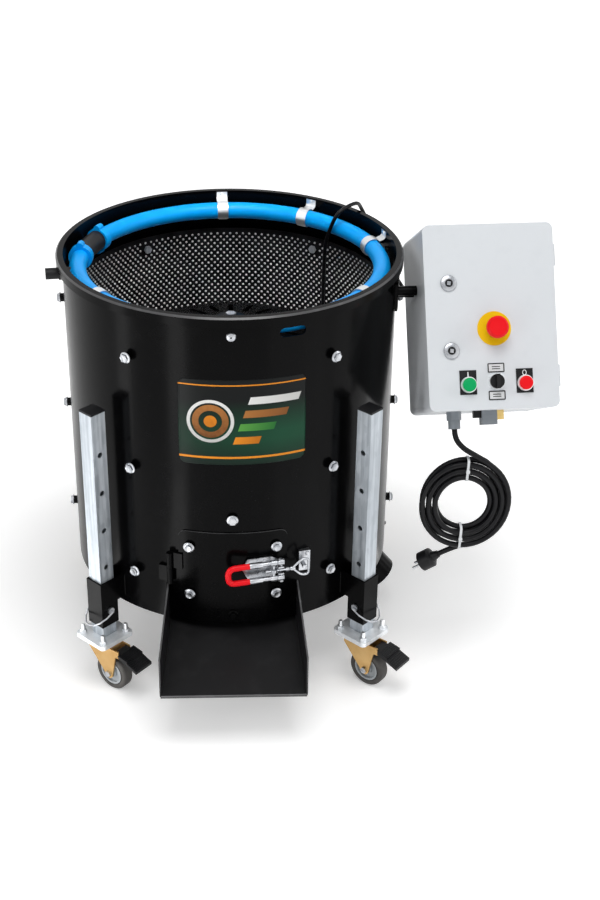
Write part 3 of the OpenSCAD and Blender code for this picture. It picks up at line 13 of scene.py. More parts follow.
import bpy
from mathutils import Matrix, Vector


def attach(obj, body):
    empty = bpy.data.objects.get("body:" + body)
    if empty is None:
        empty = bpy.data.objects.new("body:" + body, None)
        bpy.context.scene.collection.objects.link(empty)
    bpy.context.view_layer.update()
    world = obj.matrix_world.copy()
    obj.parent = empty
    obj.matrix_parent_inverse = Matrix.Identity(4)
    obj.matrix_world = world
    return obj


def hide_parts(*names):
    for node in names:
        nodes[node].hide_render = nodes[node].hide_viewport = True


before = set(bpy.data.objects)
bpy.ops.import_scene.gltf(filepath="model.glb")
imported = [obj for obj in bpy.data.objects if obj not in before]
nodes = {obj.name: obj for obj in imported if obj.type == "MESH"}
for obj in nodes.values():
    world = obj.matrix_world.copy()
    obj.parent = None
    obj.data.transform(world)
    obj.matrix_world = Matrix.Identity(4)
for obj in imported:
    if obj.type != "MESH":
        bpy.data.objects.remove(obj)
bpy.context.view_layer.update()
LEGS = ("fl", "fr", "rr", "rl")

# %% [markdown]
# ## Where things are
#
# Most pieces sit on a round wall, so a place is an angle, a radius and a height. The
# angle is zero at the front and grows to the right. Heights are counted from the
# drum's bottom edge, which hangs 178 mm above the floor. The control box leans back
# and turns a little, so it gets a frame of its own.

# %% Places
DRUM_Z = 0.178
DRUM_R = 0.310
LEG_R = 0.350
LEG_AZ = dict(zip(LEGS, (-45, 45, 135, -135)))


def outward(az, r, z):
    """Place on the drum: X to the right, Y up, Z out of the wall."""
    a = math.radians(az)
    right, up = Vector((math.cos(a), math.sin(a), 0)), Vector((0, 0, 1))
    out = Vector((math.sin(a), -math.cos(a), 0))
    place = Matrix((right, up, out)).transposed().to_4x4()
    place.translation = out * r + up * (DRUM_Z + z)
    return place


BOX_AT, BOX_TURN, BOX_LEAN = (0.470, -0.146, DRUM_Z + 0.553), 4, -30
LATCH_AZ, LATCH_Z = 13, 0.126
BOX = (Matrix.Translation(BOX_AT) @ Matrix.Rotation(math.radians(BOX_TURN), 4, "Z")
       @ Matrix.Rotation(math.radians(BOX_LEAN), 4, "X"))
LATCH = outward(LATCH_AZ, 0, LATCH_Z)
print("box face at", tuple(round(v, 3) for v in BOX.translation))

# %% [markdown]
# ## The view
#
# The camera stands 2.65 m in front of the drum and 1.86 m above the floor, looks
# down by 29 degrees and a little to the right, and rolls by one degree. The lens is
# 61 mm on a 36 mm frame. These numbers come from fitting the rim, the legs and the
# box's corners to their places in the picture.

# %% Camera
scene = bpy.context.scene
CAMERA_AT, LENS, SENSOR = (0, -2.6491, 1.8620), 61.0, 36
pitch, yaw, roll = 0.5108, 0.0511, 0.0168
ahead = Vector((math.sin(yaw) * math.cos(pitch), math.cos(yaw) * math.cos(pitch), -math.sin(pitch)))
right = Vector((math.cos(yaw), -math.sin(yaw), 0))
above = right.cross(ahead)
turned_right = right * math.cos(roll) + above * math.sin(roll)
turned_up = above * math.cos(roll) - right * math.sin(roll)
camera = bpy.data.objects.new("camera", bpy.data.cameras.new("camera"))
scene.collection.objects.link(camera)
camera.matrix_world = Matrix((turned_right, turned_up, -ahead)).transposed().to_4x4()
camera.matrix_world.translation = CAMERA_AT
camera.data.lens = LENS
camera.data.sensor_width = SENSOR
camera.data.clip_end = 50
scene.camera = camera
print("camera looks along", tuple(round(v, 3) for v in ahead))

# %% [markdown]
# ## Material sums
#
# A finish is arithmetic on noise: a little roughness here, a little colour there.
# Writing it with plus and times keeps it readable, so one small class wraps a socket
# of a node tree. Every other kind of node is added through its one method, `node`.


# %% Flow
class Flow:
    """A value on its way through a material's node tree."""

    def __init__(self, tree, socket=None):
        self.tree, self.socket = tree, socket

    def node(self, kind, values=(), out=0, **settings):
        made = self.tree.nodes.new(kind)
        for name, value in settings.items():
            setattr(made, name, value)
        for place, value in dict(values).items():
            if isinstance(value, Flow):
                self.tree.links.new(value.socket, made.inputs[place])
            else:
                made.inputs[place].default_value = value
        return Flow(self.tree, made.outputs[out])

    def maths(self, operation, a, b):
        return self.node("ShaderNodeMath", {0: a, 1: b}, operation=operation)

    def __add__(self, other): return self.maths("ADD", self, other)
    def __radd__(self, other): return self.maths("ADD", other, self)
    def __sub__(self, other): return self.maths("SUBTRACT", self, other)
    def __rsub__(self, other): return self.maths("SUBTRACT", other, self)
    def __mul__(self, other): return self.maths("MULTIPLY", self, other)
    def __rmul__(self, other): return self.maths("MULTIPLY", other, self)
    def __pow__(self, other): return self.maths("POWER", self, other)
    def __gt__(self, other): return self.maths("GREATER_THAN", self, other)
    def __lt__(self, other): return self.maths("LESS_THAN", self, other)


print("flow ready")

# %% [markdown]
# The same few steps come back in every finish: noise in the piece's own metres, a mix
# of two colours, one range drawn out to another, and a bump. Each gets a helper, so a
# finish reads as a list of what it is made of.


# %% Steps of a finish
def new_finish(name):
    """A material with its flow and the inputs of its surface."""
    material = bpy.data.materials.new(name)
    material.use_nodes = True
    return material, Flow(material.node_tree), material.node_tree.nodes["Principled BSDF"].inputs


def feed(inputs, **values):
    """Sets surface inputs by name, with _ for a space; a Flow is linked."""
    for name, value in values.items():
        socket = inputs[name.replace("_", " ")]
        if isinstance(value, Flow):
            value.tree.links.new(value.socket, socket)
        else:
            socket.default_value = value


def rgb(colour):
    return (*colour, 1)


def noise(flow, scale, detail=4, stretch=None):
    """Noise from 0 to 1 over the piece, in its own metres."""
    where = flow.node("ShaderNodeTexCoord", out="Object")
    if stretch:
        where = flow.node("ShaderNodeVectorMath", {0: where, 1: stretch}, operation="MULTIPLY")
    return flow.node("ShaderNodeTexNoise", {"Vector": where, "Scale": scale, "Detail": detail})


def blend(flow, amount, low, high):
    """Colour from low to high."""
    return flow.node("ShaderNodeMix", {0: amount, 6: low, 7: high}, out=2, data_type="RGBA")


def spread(flow, value, low, high, to_low, to_high):
    """The range low to high drawn out to another, and held at its ends."""
    return flow.node("ShaderNodeMapRange", {0: value, 1: low, 2: high, 3: to_low, 4: to_high})


def bumps(flow, height, strength, distance):
    return flow.node("ShaderNodeBump", {"Height": height, "Strength": strength, "Distance": distance})


print("steps ready")

# %% [markdown]
# ## Paint
#
# The drum, rim, chute, door and sleeves are sprayed gloss black, and the box pale
# grey. Sprayed paint has an orange-peel skin a few tenths of a millimetre across and
# handling dulls it in cloudy patches. Both are noise: fine noise in the bump, broad
# noise in the roughness, and a trace of dust in the colour. Cut edges get a paler coat,
# a painted highlight, and the chute a lighter coat than the drum, a painted sheen.


# %% Painted finishes
def painted(name, colour, dusty, rough, peel, shine):
    material, flow, surface = new_finish(name)
    cloud = noise(flow, 7, 5)
    skin = noise(flow, 420, 2)
    dust = spread(flow, noise(flow, 38, 8), 0.52, 0.78, 0, 0.5)
    feed(surface, Base_Color=blend(flow, dust, rgb(colour), rgb(dusty)),
         Roughness=rough + 0.16 * cloud + 0.10 * dust, Specular_IOR_Level=shine,
         Coat_Weight=0.01 * (1 - dust), Coat_Roughness=0.12, Normal=bumps(flow, skin, peel, 0.0004))
    return material


black_coat = painted("black_coat", (0.0014, 0.0014, 0.0016), (0.0034, 0.0034, 0.0038), 0.12, 0.05, 0.048)
# The paler coat on cut edges and the rim's bevel is a painted highlight.
edge_highlight_coat = painted("edge_highlight_coat", (0.055, 0.055, 0.057), (0.140, 0.140, 0.143), 0.22, 0.10, 0.50)
# The chute's coat is lighter than the drum's black: a painted sheen.
chute_sheen_coat = painted("chute_sheen_coat", (0.0075, 0.0075, 0.0082), (0.0150, 0.0150, 0.0160), 0.26, 0.08, 0.16)
box_paint = painted("box_paint", (0.735, 0.765, 0.795), (0.690, 0.720, 0.750), 0.34, 0.10, 0.30)
cast_paint = painted("cast_drive_paint", (0.020, 0.021, 0.024), (0.050, 0.048, 0.045), 0.42, 0.35, 0.30)
print("painted:", [m.name for m in (black_coat, edge_highlight_coat, chute_sheen_coat, box_paint, cast_paint)])

# %% [markdown]
# ## Metal
#
# Galvanised tube has crystal flowers and long draw marks, so its tone and roughness
# change from cell to cell and from streak to streak. Bright zinc on bolts is even, with
# fine drawing lines, and the steel of clips and bezels is paler. Yellow zinc on the
# caster forks drifts between straw and amber, and a little brass shows in the socket.
# The rasp sheet is dark, with bright metal only where the punch broke through; the
# teeth's near-white, barely metallic colour is partly that bare metal and partly a painted glint.


# %% Metal finishes
def plated(name, colour, other, rough, patch, grain):
    material, flow, surface = new_finish(name)
    drift = spread(flow, noise(flow, patch, 4), 0.35, 0.65, 0, 1)
    lines = noise(flow, 900, 3, grain)
    feed(surface, Base_Color=blend(flow, drift, rgb(colour), rgb(other)), Metallic=1.0,
         Roughness=rough + 0.14 * lines + 0.06 * drift, Normal=bumps(flow, lines, 0.05, 0.0001))
    return material


def galvanised(name, low, high):
    material, flow, surface = new_finish(name)
    where = flow.node("ShaderNodeTexCoord", out="Object")
    long = flow.node("ShaderNodeVectorMath", {0: where, 1: (1, 1, 0.35)}, operation="MULTIPLY")
    cell = flow.node("ShaderNodeTexVoronoi", {"Vector": long, "Scale": 130}, out="Color")
    tone = flow.node("ShaderNodeSeparateColor", {0: cell})
    streak = spread(flow, noise(flow, 170, 6, (1, 1, 0.03)), 0.30, 0.70, 0, 1)
    feed(surface, Base_Color=blend(flow, 0.25 * tone + 0.75 * streak, rgb(low), rgb(high)),
         Metallic=0.60, Roughness=0.30 + 0.10 * tone + 0.16 * streak,
         Normal=bumps(flow, 0.5 * tone + streak, 0.10, 0.0003))
    return material


zinc = plated("zinc", (0.33, 0.345, 0.37), (0.51, 0.52, 0.54), 0.20, 60, (1, 1, 0.1))
gold_zinc = plated("gold_zinc", (0.58, 0.35, 0.13), (0.67, 0.44, 0.19), 0.24, 26, (1, 0.2, 1))
galv = galvanised("galvanised", (0.33, 0.37, 0.41), (0.62, 0.66, 0.70))
plate_zinc = galvanised("plate_zinc", (0.76, 0.79, 0.82), (0.88, 0.90, 0.92))
clip_steel = plated("clip_steel", (0.72, 0.74, 0.76), (0.84, 0.85, 0.86), 0.30, 40, (1, 1, 0.3))
brass = plated("brass", (0.62, 0.42, 0.13), (0.70, 0.52, 0.22), 0.26, 90, (1, 1, 1))
rasp_sheet = plated("rasp_sheet", (0.010, 0.010, 0.011), (0.024, 0.024, 0.026), 0.42, 22, (1, 1, 0.4))
print("metals:", [m.name for m in (zinc, gold_zinc, galv, plate_zinc, clip_steel, brass, rasp_sheet)])

# %% [markdown]
# ## Plastic and rubber
#
# Pipe, caps, knobs and cord sheaths are moulded or drawn plastic. Drawn pieces carry
# faint lines along their length and moulded ones a fine grain; both pick up a dull
# bloom in patches. Tyres are a matt grey rubber that is scuffed where it rolls.


# %% Plastic finishes
def moulded(name, colour, bloom, rough, grain=600, shine=0.35):
    material, flow, surface = new_finish(name)
    patch = spread(flow, noise(flow, 30, 6), 0.45, 0.75, 0, 1)
    fine = noise(flow, grain, 3)
    feed(surface, Base_Color=blend(flow, patch, rgb(colour), rgb(bloom)),
         Roughness=rough + 0.12 * patch + 0.08 * fine, Specular_IOR_Level=shine,
         Normal=bumps(flow, fine, 0.12, 0.0003))
    return material


blue_pipe = moulded("blue_pipe", (0.000, 0.390, 1.000), (0.004, 0.420, 1.000), 0.30, 300, 0.16)
dark_plastic = moulded("dark_plastic", (0.006, 0.006, 0.007), (0.013, 0.013, 0.014), 0.38, 600, 0.20)
grey_plastic = moulded("grey_plastic", (0.250, 0.275, 0.300), (0.310, 0.335, 0.360), 0.42)
wheel_grey = moulded("wheel_grey", (0.400, 0.430, 0.455), (0.480, 0.505, 0.530), 0.40)
tyre = moulded("tyre", (0.075, 0.071, 0.068), (0.125, 0.119, 0.113), 0.62, 220, 0.25)
cord_sheath = moulded("cord_sheath", (0.004, 0.004, 0.005), (0.009, 0.009, 0.010), 0.30, 240, 0.14)
red_grip = moulded("red_grip", (0.860, 0.006, 0.014), (0.900, 0.014, 0.022), 0.30, 600, 0.20)
red_cap = moulded("red_cap", (0.880, 0.006, 0.012), (0.910, 0.012, 0.018), 0.30, 600, 0.18)
green_cap = moulded("green_cap", (0.001, 0.380, 0.110), (0.004, 0.410, 0.130), 0.30, 600, 0.18)
yellow_plate = moulded("yellow_plate", (0.930, 0.570, 0.002), (0.950, 0.600, 0.008), 0.36, 600, 0.15)
pale_plate = moulded("pale_plate", (0.720, 0.730, 0.740), (0.800, 0.805, 0.810), 0.40)
tie_nylon = moulded("tie_nylon", (0.720, 0.740, 0.760), (0.800, 0.815, 0.830), 0.40)
print("plastics ready")

# %% [markdown]
# ## Painting the solids
#
# Each solid of the frame takes one finish, or several where the real piece is put
# together from several. A face goes to its finish by where its middle lies, so the
# solids themselves stay as they are.


# %% Finish to node
def paint(name, finishes, choose=None):
    """Gives a node its finishes; choose picks one from a face's middle."""
    mesh = nodes[name].data
    mesh.materials.clear()
    for finish in finishes:
        mesh.materials.append(finish)
    for face in mesh.polygons:
        face.material_index = choose(face.center) if choose else 0
    mesh.shade_smooth()
    mesh.set_sharp_from_angle(angle=math.radians(32))


PLAIN = {
    black_coat: ("drum_shell", "floor_plate", "leg_sleeves", "door_hinge",
                 "waste_outlet", "box_bracket", "rotor"),
    rasp_sheet: ("rasp_screen", "door_liner"),
    zinc: ("latch_keeper", "latch_base", "box_gear", "lid_lock_high", "lid_lock_low",
           "pin_fl", "pin_fr", "pin_rr", "pin_rl"),
    blue_pipe: ("water_ring",), clip_steel: ("pipe_clips",), cast_paint: ("gearmotor",),
    box_paint: ("box_body", "box_lid"),
    red_cap: ("stop_mushroom", "stop_button"), green_cap: ("start_button",),
    dark_plastic: ("selector_knob", "water_inlet", "pedal_fl", "pedal_fr", "pedal_rr", "pedal_rl"),
}
for finish, names in PLAIN.items():
    for name in names:
        paint(name, [finish])
print("plain nodes:", sum(len(names) for names in PLAIN.values()))

# %% [markdown]
# A leg is a galvanised tube with a plastic cap, on a zinc-plated foot plate with four
# studs. Its caster has a yellow fork, a grey wheel with a rubber tyre and a plain axle.
# A leg is one solid, so its faces are sorted by height and by how near a stud they lie.

# %% Legs and casters
TUBE_TOP, TUBE_FOOT = 0.418, -0.045
PLATE_TOP, STUD, STUD_HALF = -0.059, 0.0285, 0.008
CASTER_TURN = -40
WHEEL_X, WHEEL_Z, TYRE_R = 0.022, 0.0375, 0.0259
AXLE_END, FORK_LOW = 0.0172, 0.060


def leg_face(k):
    """Chooses the finish of a leg's face: tube, cap, stud or plate."""
    home = outward(LEG_AZ[k], LEG_R, 0).inverted()

    def choose(p):
        q = home @ p
        if q.y > TUBE_TOP:
            return 1
        if q.y > TUBE_FOOT:
            return 0
        at_stud = max(abs(abs(q.x) - STUD), abs(abs(q.z) - STUD)) < STUD_HALF
        return 2 if at_stud and abs(q.y - PLATE_TOP) > 0.0005 else 3
    return choose


def caster(k):
    """Place of a caster: X from the swivel to the wheel, Y along the axle, Z up from the floor."""
    foot = outward(LEG_AZ[k], LEG_R, -DRUM_Z).translation
    return Matrix.Translation(foot) @ Matrix.Rotation(math.radians(CASTER_TURN), 4, "Z")


for k in LEGS:
    home = caster(k).inverted()
    paint("leg_" + k, [galv, dark_plastic, clip_steel, plate_zinc], leg_face(k))
    paint("fork_" + k, [gold_zinc, zinc], lambda p: int(abs((home @ p).y) > AXLE_END and p.z < FORK_LOW))
    paint("wheel_" + k, [wheel_grey, tyre],
          lambda p: int(math.hypot((home @ p).x - WHEEL_X, p.z - WHEEL_Z) > TYRE_R))
print("legs and casters painted")

# %% [markdown]
# Sheet edges and the rim's bevel get a paler coat, a painted highlight: they are the faces
# in a narrow band of radius, or half-way through a chute side. Bolts are bright outside
# their black spacers.

# %% Edges and bolts
CHUTE_BACK, CHUTE_RUN, CHUTE_LIP = -0.2858, 0.1642, -0.4505
CHUTE_HALF, CHUTE_FLARE = 0.120, 0.013
BEVEL, DOOR_EDGE = (0.3185, 0.3206), (0.3108, 0.3128)
SPACER, DOOR_SPACER, INSIDE = 0.0088, 0.0078, 0.300
SHAFT_NUT = DRUM_Z + 0.4875


def radius(p):
    return math.hypot(p[0], p[1])


def chute_face(p):
    """Chooses the finish of a chute's face: 1 for the lip and the cut edges of the sides."""
    middle = CHUTE_HALF + CHUTE_FLARE * (CHUTE_BACK - p.y) / CHUTE_RUN
    return int(p.y < CHUTE_LIP or abs(abs(p.x) - middle) < 0.0006)


# The chute's lighter coat is a painted sheen; its lip and cut edges take the paler coat, a painted highlight.
paint("discharge_chute", [chute_sheen_coat, edge_highlight_coat], chute_face)
# The rim's bevel and the door's edge take the paler coat, a painted highlight.
paint("rim_ring", [black_coat, edge_highlight_coat], lambda p: int(BEVEL[0] < radius(p) < BEVEL[1]))
paint("door_plate", [black_coat, edge_highlight_coat], lambda p: int(DOOR_EDGE[0] < radius(p) < DOOR_EDGE[1]))
paint("rotor_shaft", [black_coat, zinc], lambda p: int(p.z > SHAFT_NUT))
paint("screen_bolts", [zinc, black_coat, galv],
      lambda p: 2 if radius(p) < INSIDE else int(DRUM_R < radius(p) < DRUM_R + SPACER))
paint("door_bolts", [zinc, black_coat], lambda p: int(radius(p) < DRUM_R + DOOR_SPACER))
print("edges and bolts painted")

# %% [markdown]
# The coupling in the water ring is a black rubber sleeve between two blue collars.
# On the box, a yellow disc lies under the stop button, dark plates under the two
# push buttons and pale ones at the selector, and the bezels are bright metal.

# %% Coupling, plates and fittings
RING_R, RING_Z = 0.282, DRUM_Z + 0.597
SLEEVE_AZ, SLEEVE_HALF, SLEEVE_R = -107, 8.05, 0.0196
LID_X, MUSHROOM_Z, KNOB_Z, PLATE_FACE = 0.004, -0.022, -0.118, -0.00121
DISC_R, SIDE_X, BEZEL_R = 0.035, 0.030, 0.0148
GLAND_END, SOCKET_FROM, SOCKET_TO = -0.040, -0.0165, 0.0121
to_box = BOX.inverted()


def coupling_face(p):
    a = abs(math.degrees(math.atan2(p.x, -p.y)) - SLEEVE_AZ)
    return int(a < SLEEVE_HALF and math.hypot(radius(p) - RING_R, p.z - RING_Z) < SLEEVE_R)


def plate_face(p):
    """Chooses the finish of a plate's face: yellow, dark, bezel or pale."""
    q = to_box @ p
    if math.hypot(q.x - LID_X, q.z - MUSHROOM_Z) < DISC_R:
        return 0 if q.y > PLATE_FACE else 1
    if abs(q.x - LID_X) > SIDE_X:
        return 1 if q.y > PLATE_FACE else 2
    return 2 if math.hypot(q.x - LID_X, q.z - KNOB_Z) < BEZEL_R else 3


def fitting_face(p):
    """The gland and the socket's housing are grey, its latch dark, its contact block brass."""
    x = (to_box @ p).x
    if x < GLAND_END or SOCKET_FROM < x < SOCKET_TO:
        return 0
    return 1 if x < 0 else 2


paint("ring_coupling", [blue_pipe, dark_plastic], coupling_face)
paint("lid_plates", [yellow_plate, dark_plastic, clip_steel, pale_plate], plate_face)
paint("box_fittings", [grey_plastic, dark_plastic, brass], fitting_face)
print("coupling, plates and fittings painted")

# %% [markdown]
# ## Building small pieces
#
# The extra pieces could be modelled by hand, but most repeat, so they are built as
# lists of corners and faces. A heap collects many of them, so that dozens of bolts or
# about ten thousand teeth are still one object that rides on one body.


# %% Heap
class Heap:
    """Corners and faces of one object, gathered bit by bit."""

    def __init__(self):
        self.corners, self.faces, self.finish = [], [], []

    def add(self, shape, place=Matrix(), finish=0):
        base = len(self.corners)
        self.corners += [place @ Vector(c) for c in shape[0]]
        self.faces += [[base + i for i in face] for face in shape[1]]
        self.finish += [finish] * len(shape[1])

    def make(self, name, body, *finishes, slot=None, angle=32):
        mesh = bpy.data.meshes.new(name)
        mesh.from_pydata(self.corners, [], self.faces)
        for finish in finishes:
            mesh.materials.append(finish)
        mesh.polygons.foreach_set("material_index", self.finish)
        mesh.shade_smooth()
        mesh.set_sharp_from_angle(angle=math.radians(angle))
        obj = bpy.data.objects.new(name, mesh)
        scene.collection.objects.link(obj)
        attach(obj, body)
        print(name, "faces:", len(self.faces))
        return obj


print("heap ready")

# %% [markdown]
# A turned piece is a profile carried round an axis, like a bolt head. A swept piece is
# a closed section carried along a path, like a wire. A block has its edges broken, as
# no real edge is sharp. All but the turned ones share `skin`, which joins rings of
# corners with faces.


# %% Shapes
def turned(profile, sides=24, turn=0.0):
    """A profile of (radius, height) carried round Z; both ends are closed."""
    corners, faces, n = [], [], len(profile)
    for s in range(sides):
        a = 2 * math.pi * (s + turn) / sides
        corners += [(r * math.cos(a), r * math.sin(a), h) for r, h in profile]
    for s in range(sides):
        t = (s + 1) % sides
        faces += [(s * n + i, t * n + i, t * n + i + 1, s * n + i + 1) for i in range(n - 1)]
    faces.append([s * n for s in reversed(range(sides))])
    faces.append([s * n + n - 1 for s in range(sides)])
    return corners, faces


def skin(n, m, closed=False):
    """Faces between m rings of n corners; open rings get flat ends."""
    faces = []
    for i in range(m if closed else m - 1):
        j = (i + 1) % m
        faces += [(i * n + k, i * n + (k + 1) % n, j * n + (k + 1) % n, j * n + k) for k in range(n)]
    return faces if closed else faces + [list(range(n))[::-1], [(m - 1) * n + k for k in range(n)]]


def swept(path, section, up, closed=False):
    """A closed section of (side, up) offsets carried along a path."""
    corners, m = [], len(path)
    for i, p in enumerate(path):
        before = path[(i - 1) % m] if closed or i else p
        after = path[(i + 1) % m] if closed or i < m - 1 else p
        way = (after - before).normalized()
        side = way.cross(up).normalized()
        high = side.cross(way)
        corners += [p + side * a + high * b for a, b in section]
    return corners, skin(len(section), m, closed)


def oblong(a, b):
    """A flat section for swept(), 2a by 2b."""
    return [(-a, -b), (a, -b), (a, b), (-a, b)]


def block(x, y, z, edge):
    """A block with its edges broken, base at Z = 0."""
    signs = ((1, -1, 1), (1, 1, 1), (1, 1, 0), (-1, 1, 0), (-1, 1, 1), (-1, -1, 1), (-1, -1, 0), (1, -1, 0))

    def level(inset, h):
        a, b = x / 2 - inset, y / 2 - inset
        return [(sx * (a - (0 if flat else edge)), sy * (b - (edge if flat else 0)), h)
                for sx, sy, flat in signs]
    return level(0, 0) + level(0, z - edge) + level(edge, z), skin(8, 3)


print("shapes ready")

# %% [markdown]
# ## The mains cord
#
# The cord leaves the box through its gland, drops into a coil that two ties hold
# together, and ends in a round plug. The coil is wound in two layers: it spirals in,
# steps over in half a turn, and spirals out again. The route repeats the numbers of
# the construction, so the curve lies exactly where its solid does.

# %% Coil
CORD_R = 0.0052
COIL = Vector((0.432, -0.226, DRUM_Z + 0.206))
coil_in, coil_step, loops, tall = 0.050, 0.0122, 3, 1.12
coil_first, coil_trim = 60, 45
turns = 360 * loops


def coil_at(s):
    a = math.radians(coil_first - s)
    if s < turns:
        r = coil_in + coil_step * (loops - s / 360)
    else:
        r = coil_in + coil_step * max(s - turns - 180, 0) / 360
    climb = min(max((s - turns) / 180, 0), 1)
    return COIL + Vector((r * math.cos(a), coil_step * climb, tall * r * math.sin(a)))


coarse = [coil_at(s) for s in range(0, 2 * turns + 180 - coil_trim + 1, 15)]
coil_from = coarse[0] - 2 * CORD_R * (coarse[1] - coarse[0]).normalized()
coil_to = coarse[-1] + 2 * CORD_R * (coarse[-1] - coarse[-2]).normalized()
print("coil points:", len(coarse))

# %% [markdown]
# A cord could be a mesh, but a curve with a round bevel keeps its middle line, and its
# length can be summed from the same points. Between the points it follows a smooth
# curve that passes through each of them.


# %% Curves
def smooth(points, steps):
    """A curve through the points, with steps between each two."""
    line = []
    for i in range(len(points) - 1):
        a, b, c, d = (points[min(max(i + k, 0), len(points) - 1)] for k in (-1, 0, 1, 2))
        for k in range(steps):
            t = k / steps
            line.append(0.5 * (2 * b + (c - a) * t + (2 * a - 5 * b + 4 * c - d) * t ** 2
                               + (3 * b - a - 3 * c + d) * t ** 3))
    return line + [points[-1]]


def offsets(start, *steps):
    return [start + Vector(step) / 1000 for step in steps]


def cord_curve(name, line, r, finish):
    curve = bpy.data.curves.new(name, "CURVE")
    curve.dimensions = "3D"
    curve.bevel_depth, curve.bevel_resolution, curve.use_fill_caps = r, 4, True
    spline = curve.splines.new("POLY")
    spline.points.add(len(line) - 1)
    for point, p in zip(spline.points, line):
        point.co = (*p, 1)
    spline.use_smooth = True
    curve.materials.append(finish)
    obj = bpy.data.objects.new(name, curve)
    scene.collection.objects.link(obj)
    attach(obj, "drum")
    return obj, sum((b - a).length for a, b in zip(line, line[1:]))


print("curves ready")

# %% [markdown]
# The lead comes straight out of the gland and bends into the coil, and the tail runs on
# from its outer turn into the plug. The plug's pins are the faces near its axis, beyond
# its front.

# %% Mains cord
GLAND_X, GLAND_Y, BOX_FOOT, GLAND_LONG = -0.066, 0.052, -0.168, 0.032
PLUG_TURN, PLUG_LEAN = -18, -128
PIN_FROM, PIN_WITHIN = 0.0403, 0.014
gland = [BOX @ Vector((GLAND_X, GLAND_Y, BOX_FOOT - GLAND_LONG * share)) for share in (0.75, 1)]
lead = gland + offsets(coil_from, (-58, 13, 46), (-53, 6, 37), (-41, 1, 26), (-21, 0, 13))
tail = offsets(coil_to, (-16, 0, -5), (-32, 2, -13), (-50, 7, -26))
mains_line = (smooth(lead + [coil_from], 4)[:-1] + smooth([coil_from] + coarse + [coil_to], 2)
              + smooth([coil_to] + tail, 4)[1:])
mains, mains_length = cord_curve("mains_cord", mains_line, CORD_R, cord_sheath)
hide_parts("mains_lead", "mains_coil", "mains_tail")
plug = (Matrix.Translation(tail[-1]) @ Matrix.Rotation(math.radians(PLUG_TURN), 4, "Z")
        @ Matrix.Rotation(math.radians(PLUG_LEAN), 4, "Y"))
to_plug = plug.inverted()
paint("mains_plug", [dark_plastic, zinc],
      lambda p: int((to_plug @ p).z > PIN_FROM and radius(to_plug @ p) < PIN_WITHIN))
print("mains cord length:", round(mains_length, 4))

# %% [markdown]
# Each tie is a flat nylon strap pulled round the bundle, with a square head and a
# trimmed end. It is built round the strands that actually pass at its angle.

# %% Ties
SLACK, NEAR, TIE_BEND = 0.0012, 9, 0.006
TIE_STRAP, TIE_HEAD = oblong(0.0006, 0.0023), block(0.0068, 0.0062, 0.0042, 0.0008)


def tie(name, degrees):
    """A strap round the strands that pass at an angle of the coil, with its head in front."""
    a = math.radians(degrees)
    out = Vector((math.cos(a), 0, tall * math.sin(a)))
    near = [p for p in coarse if abs(math.degrees(
        math.atan2((p.z - COIL.z) / tall, p.x - COIL.x)) - degrees) < NEAR]
    reach = [Vector((p.x - COIL.x, 0, p.z - COIL.z)).length for p in near]
    depth = [p.y for p in near]
    way = out.normalized()
    room = CORD_R + SLACK
    low, high = min(reach) - room, max(reach) + room
    front, back = min(depth) - room, max(depth) + room
    corner, path = TIE_BEND, []
    for cx, cy, start in ((high - corner, back - corner, 0), (low + corner, back - corner, 90),
                          (low + corner, front + corner, 180), (high - corner, front + corner, 270)):
        for k in range(5):
            b = math.radians(start + 22.5 * k)
            u, v = cx + corner * math.cos(b), cy + corner * math.sin(b)
            path.append(Vector((COIL.x, v, COIL.z)) + way * u)
    across = way.cross(Vector((0, 1, 0)))
    heap = Heap()
    heap.add(swept(path, TIE_STRAP, across, True))
    head = Matrix((across, way, across.cross(way))).transposed().to_4x4()
    head.translation = Vector((COIL.x, front - 0.0003, COIL.z)) + way * (low + high) / 2
    if across.cross(way).y > 0:
        head = head @ Matrix.Rotation(math.pi, 4, "Y")
    heap.add(TIE_HEAD, head)
    return heap.make(name, "drum", tie_nylon, slot="cord")


ties = [tie("cable_tie_high", 88), tie("cable_tie_low", -92)]
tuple(mains_line[0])

# %% [markdown]
# ## The probe lead
#
# A thinner black lead leaves the box's back, climbs over the rim and hangs down
# inside the drum with a small probe on its end. It is one open curve as well.

# %% Probe lead
LEAD_R = 0.0038
LEAD_X, BOX_DEEP, LEAD_Z = -0.092, 0.200, 0.028
start = [BOX @ Vector((LEAD_X, BOX_DEEP + out, LEAD_Z)) for out in (0.0005, 8 * LEAD_R)]
route = [(352, 110, 478), (318, 160, 520), (285, 200, 575), (262, 214, 622), (246, 187, 646),
         (212, 161, 636), (196, 168, 600), (188, 178, 560), (186, 180, 500), (186, 180, 420), (186, 180, 360)]
probe_line = smooth(start + [Vector((x / 1000, y / 1000, z / 1000 + DRUM_Z)) for x, y, z in route], 6)
probe_cord, probe_length = cord_curve("probe_cord", probe_line, LEAD_R, cord_sheath)
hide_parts("probe_lead")
heap = Heap()
tip = [(0.0066, -0.060), (0.0076, -0.058), (0.0076, -0.040), (0.0070, -0.039), (0.0070, -0.036),
       (0.0076, -0.035), (0.0076, -0.004), (0.0055, -0.0002), (0.0042, 0.004)]
heap.add(turned(tip, 20), Matrix.Translation(probe_line[-1]))
probe_tip = heap.make("probe_tip", "drum", dark_plastic, slot="dark_plastic")
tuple(probe_line[0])
print("probe lead length:", round(probe_length, 4))

# %% [markdown]
# ## Rasp teeth
#
# The screen is a sheet that was punched from behind, so every hole has a raised,
# torn lip, and the lip is what peels the husk. Rows stand 7 mm apart, teeth 13 mm
# apart in a row, every second row shifted by half. A lip is a low six-sided crater
# with a dark hole. It is kept as a mesh and not as a bump, because the bright rims
# show one by one, and each island of faces takes its own tone. The sheet has a window
# for the door, two rows of drain holes and its bolts, and no tooth stands there.

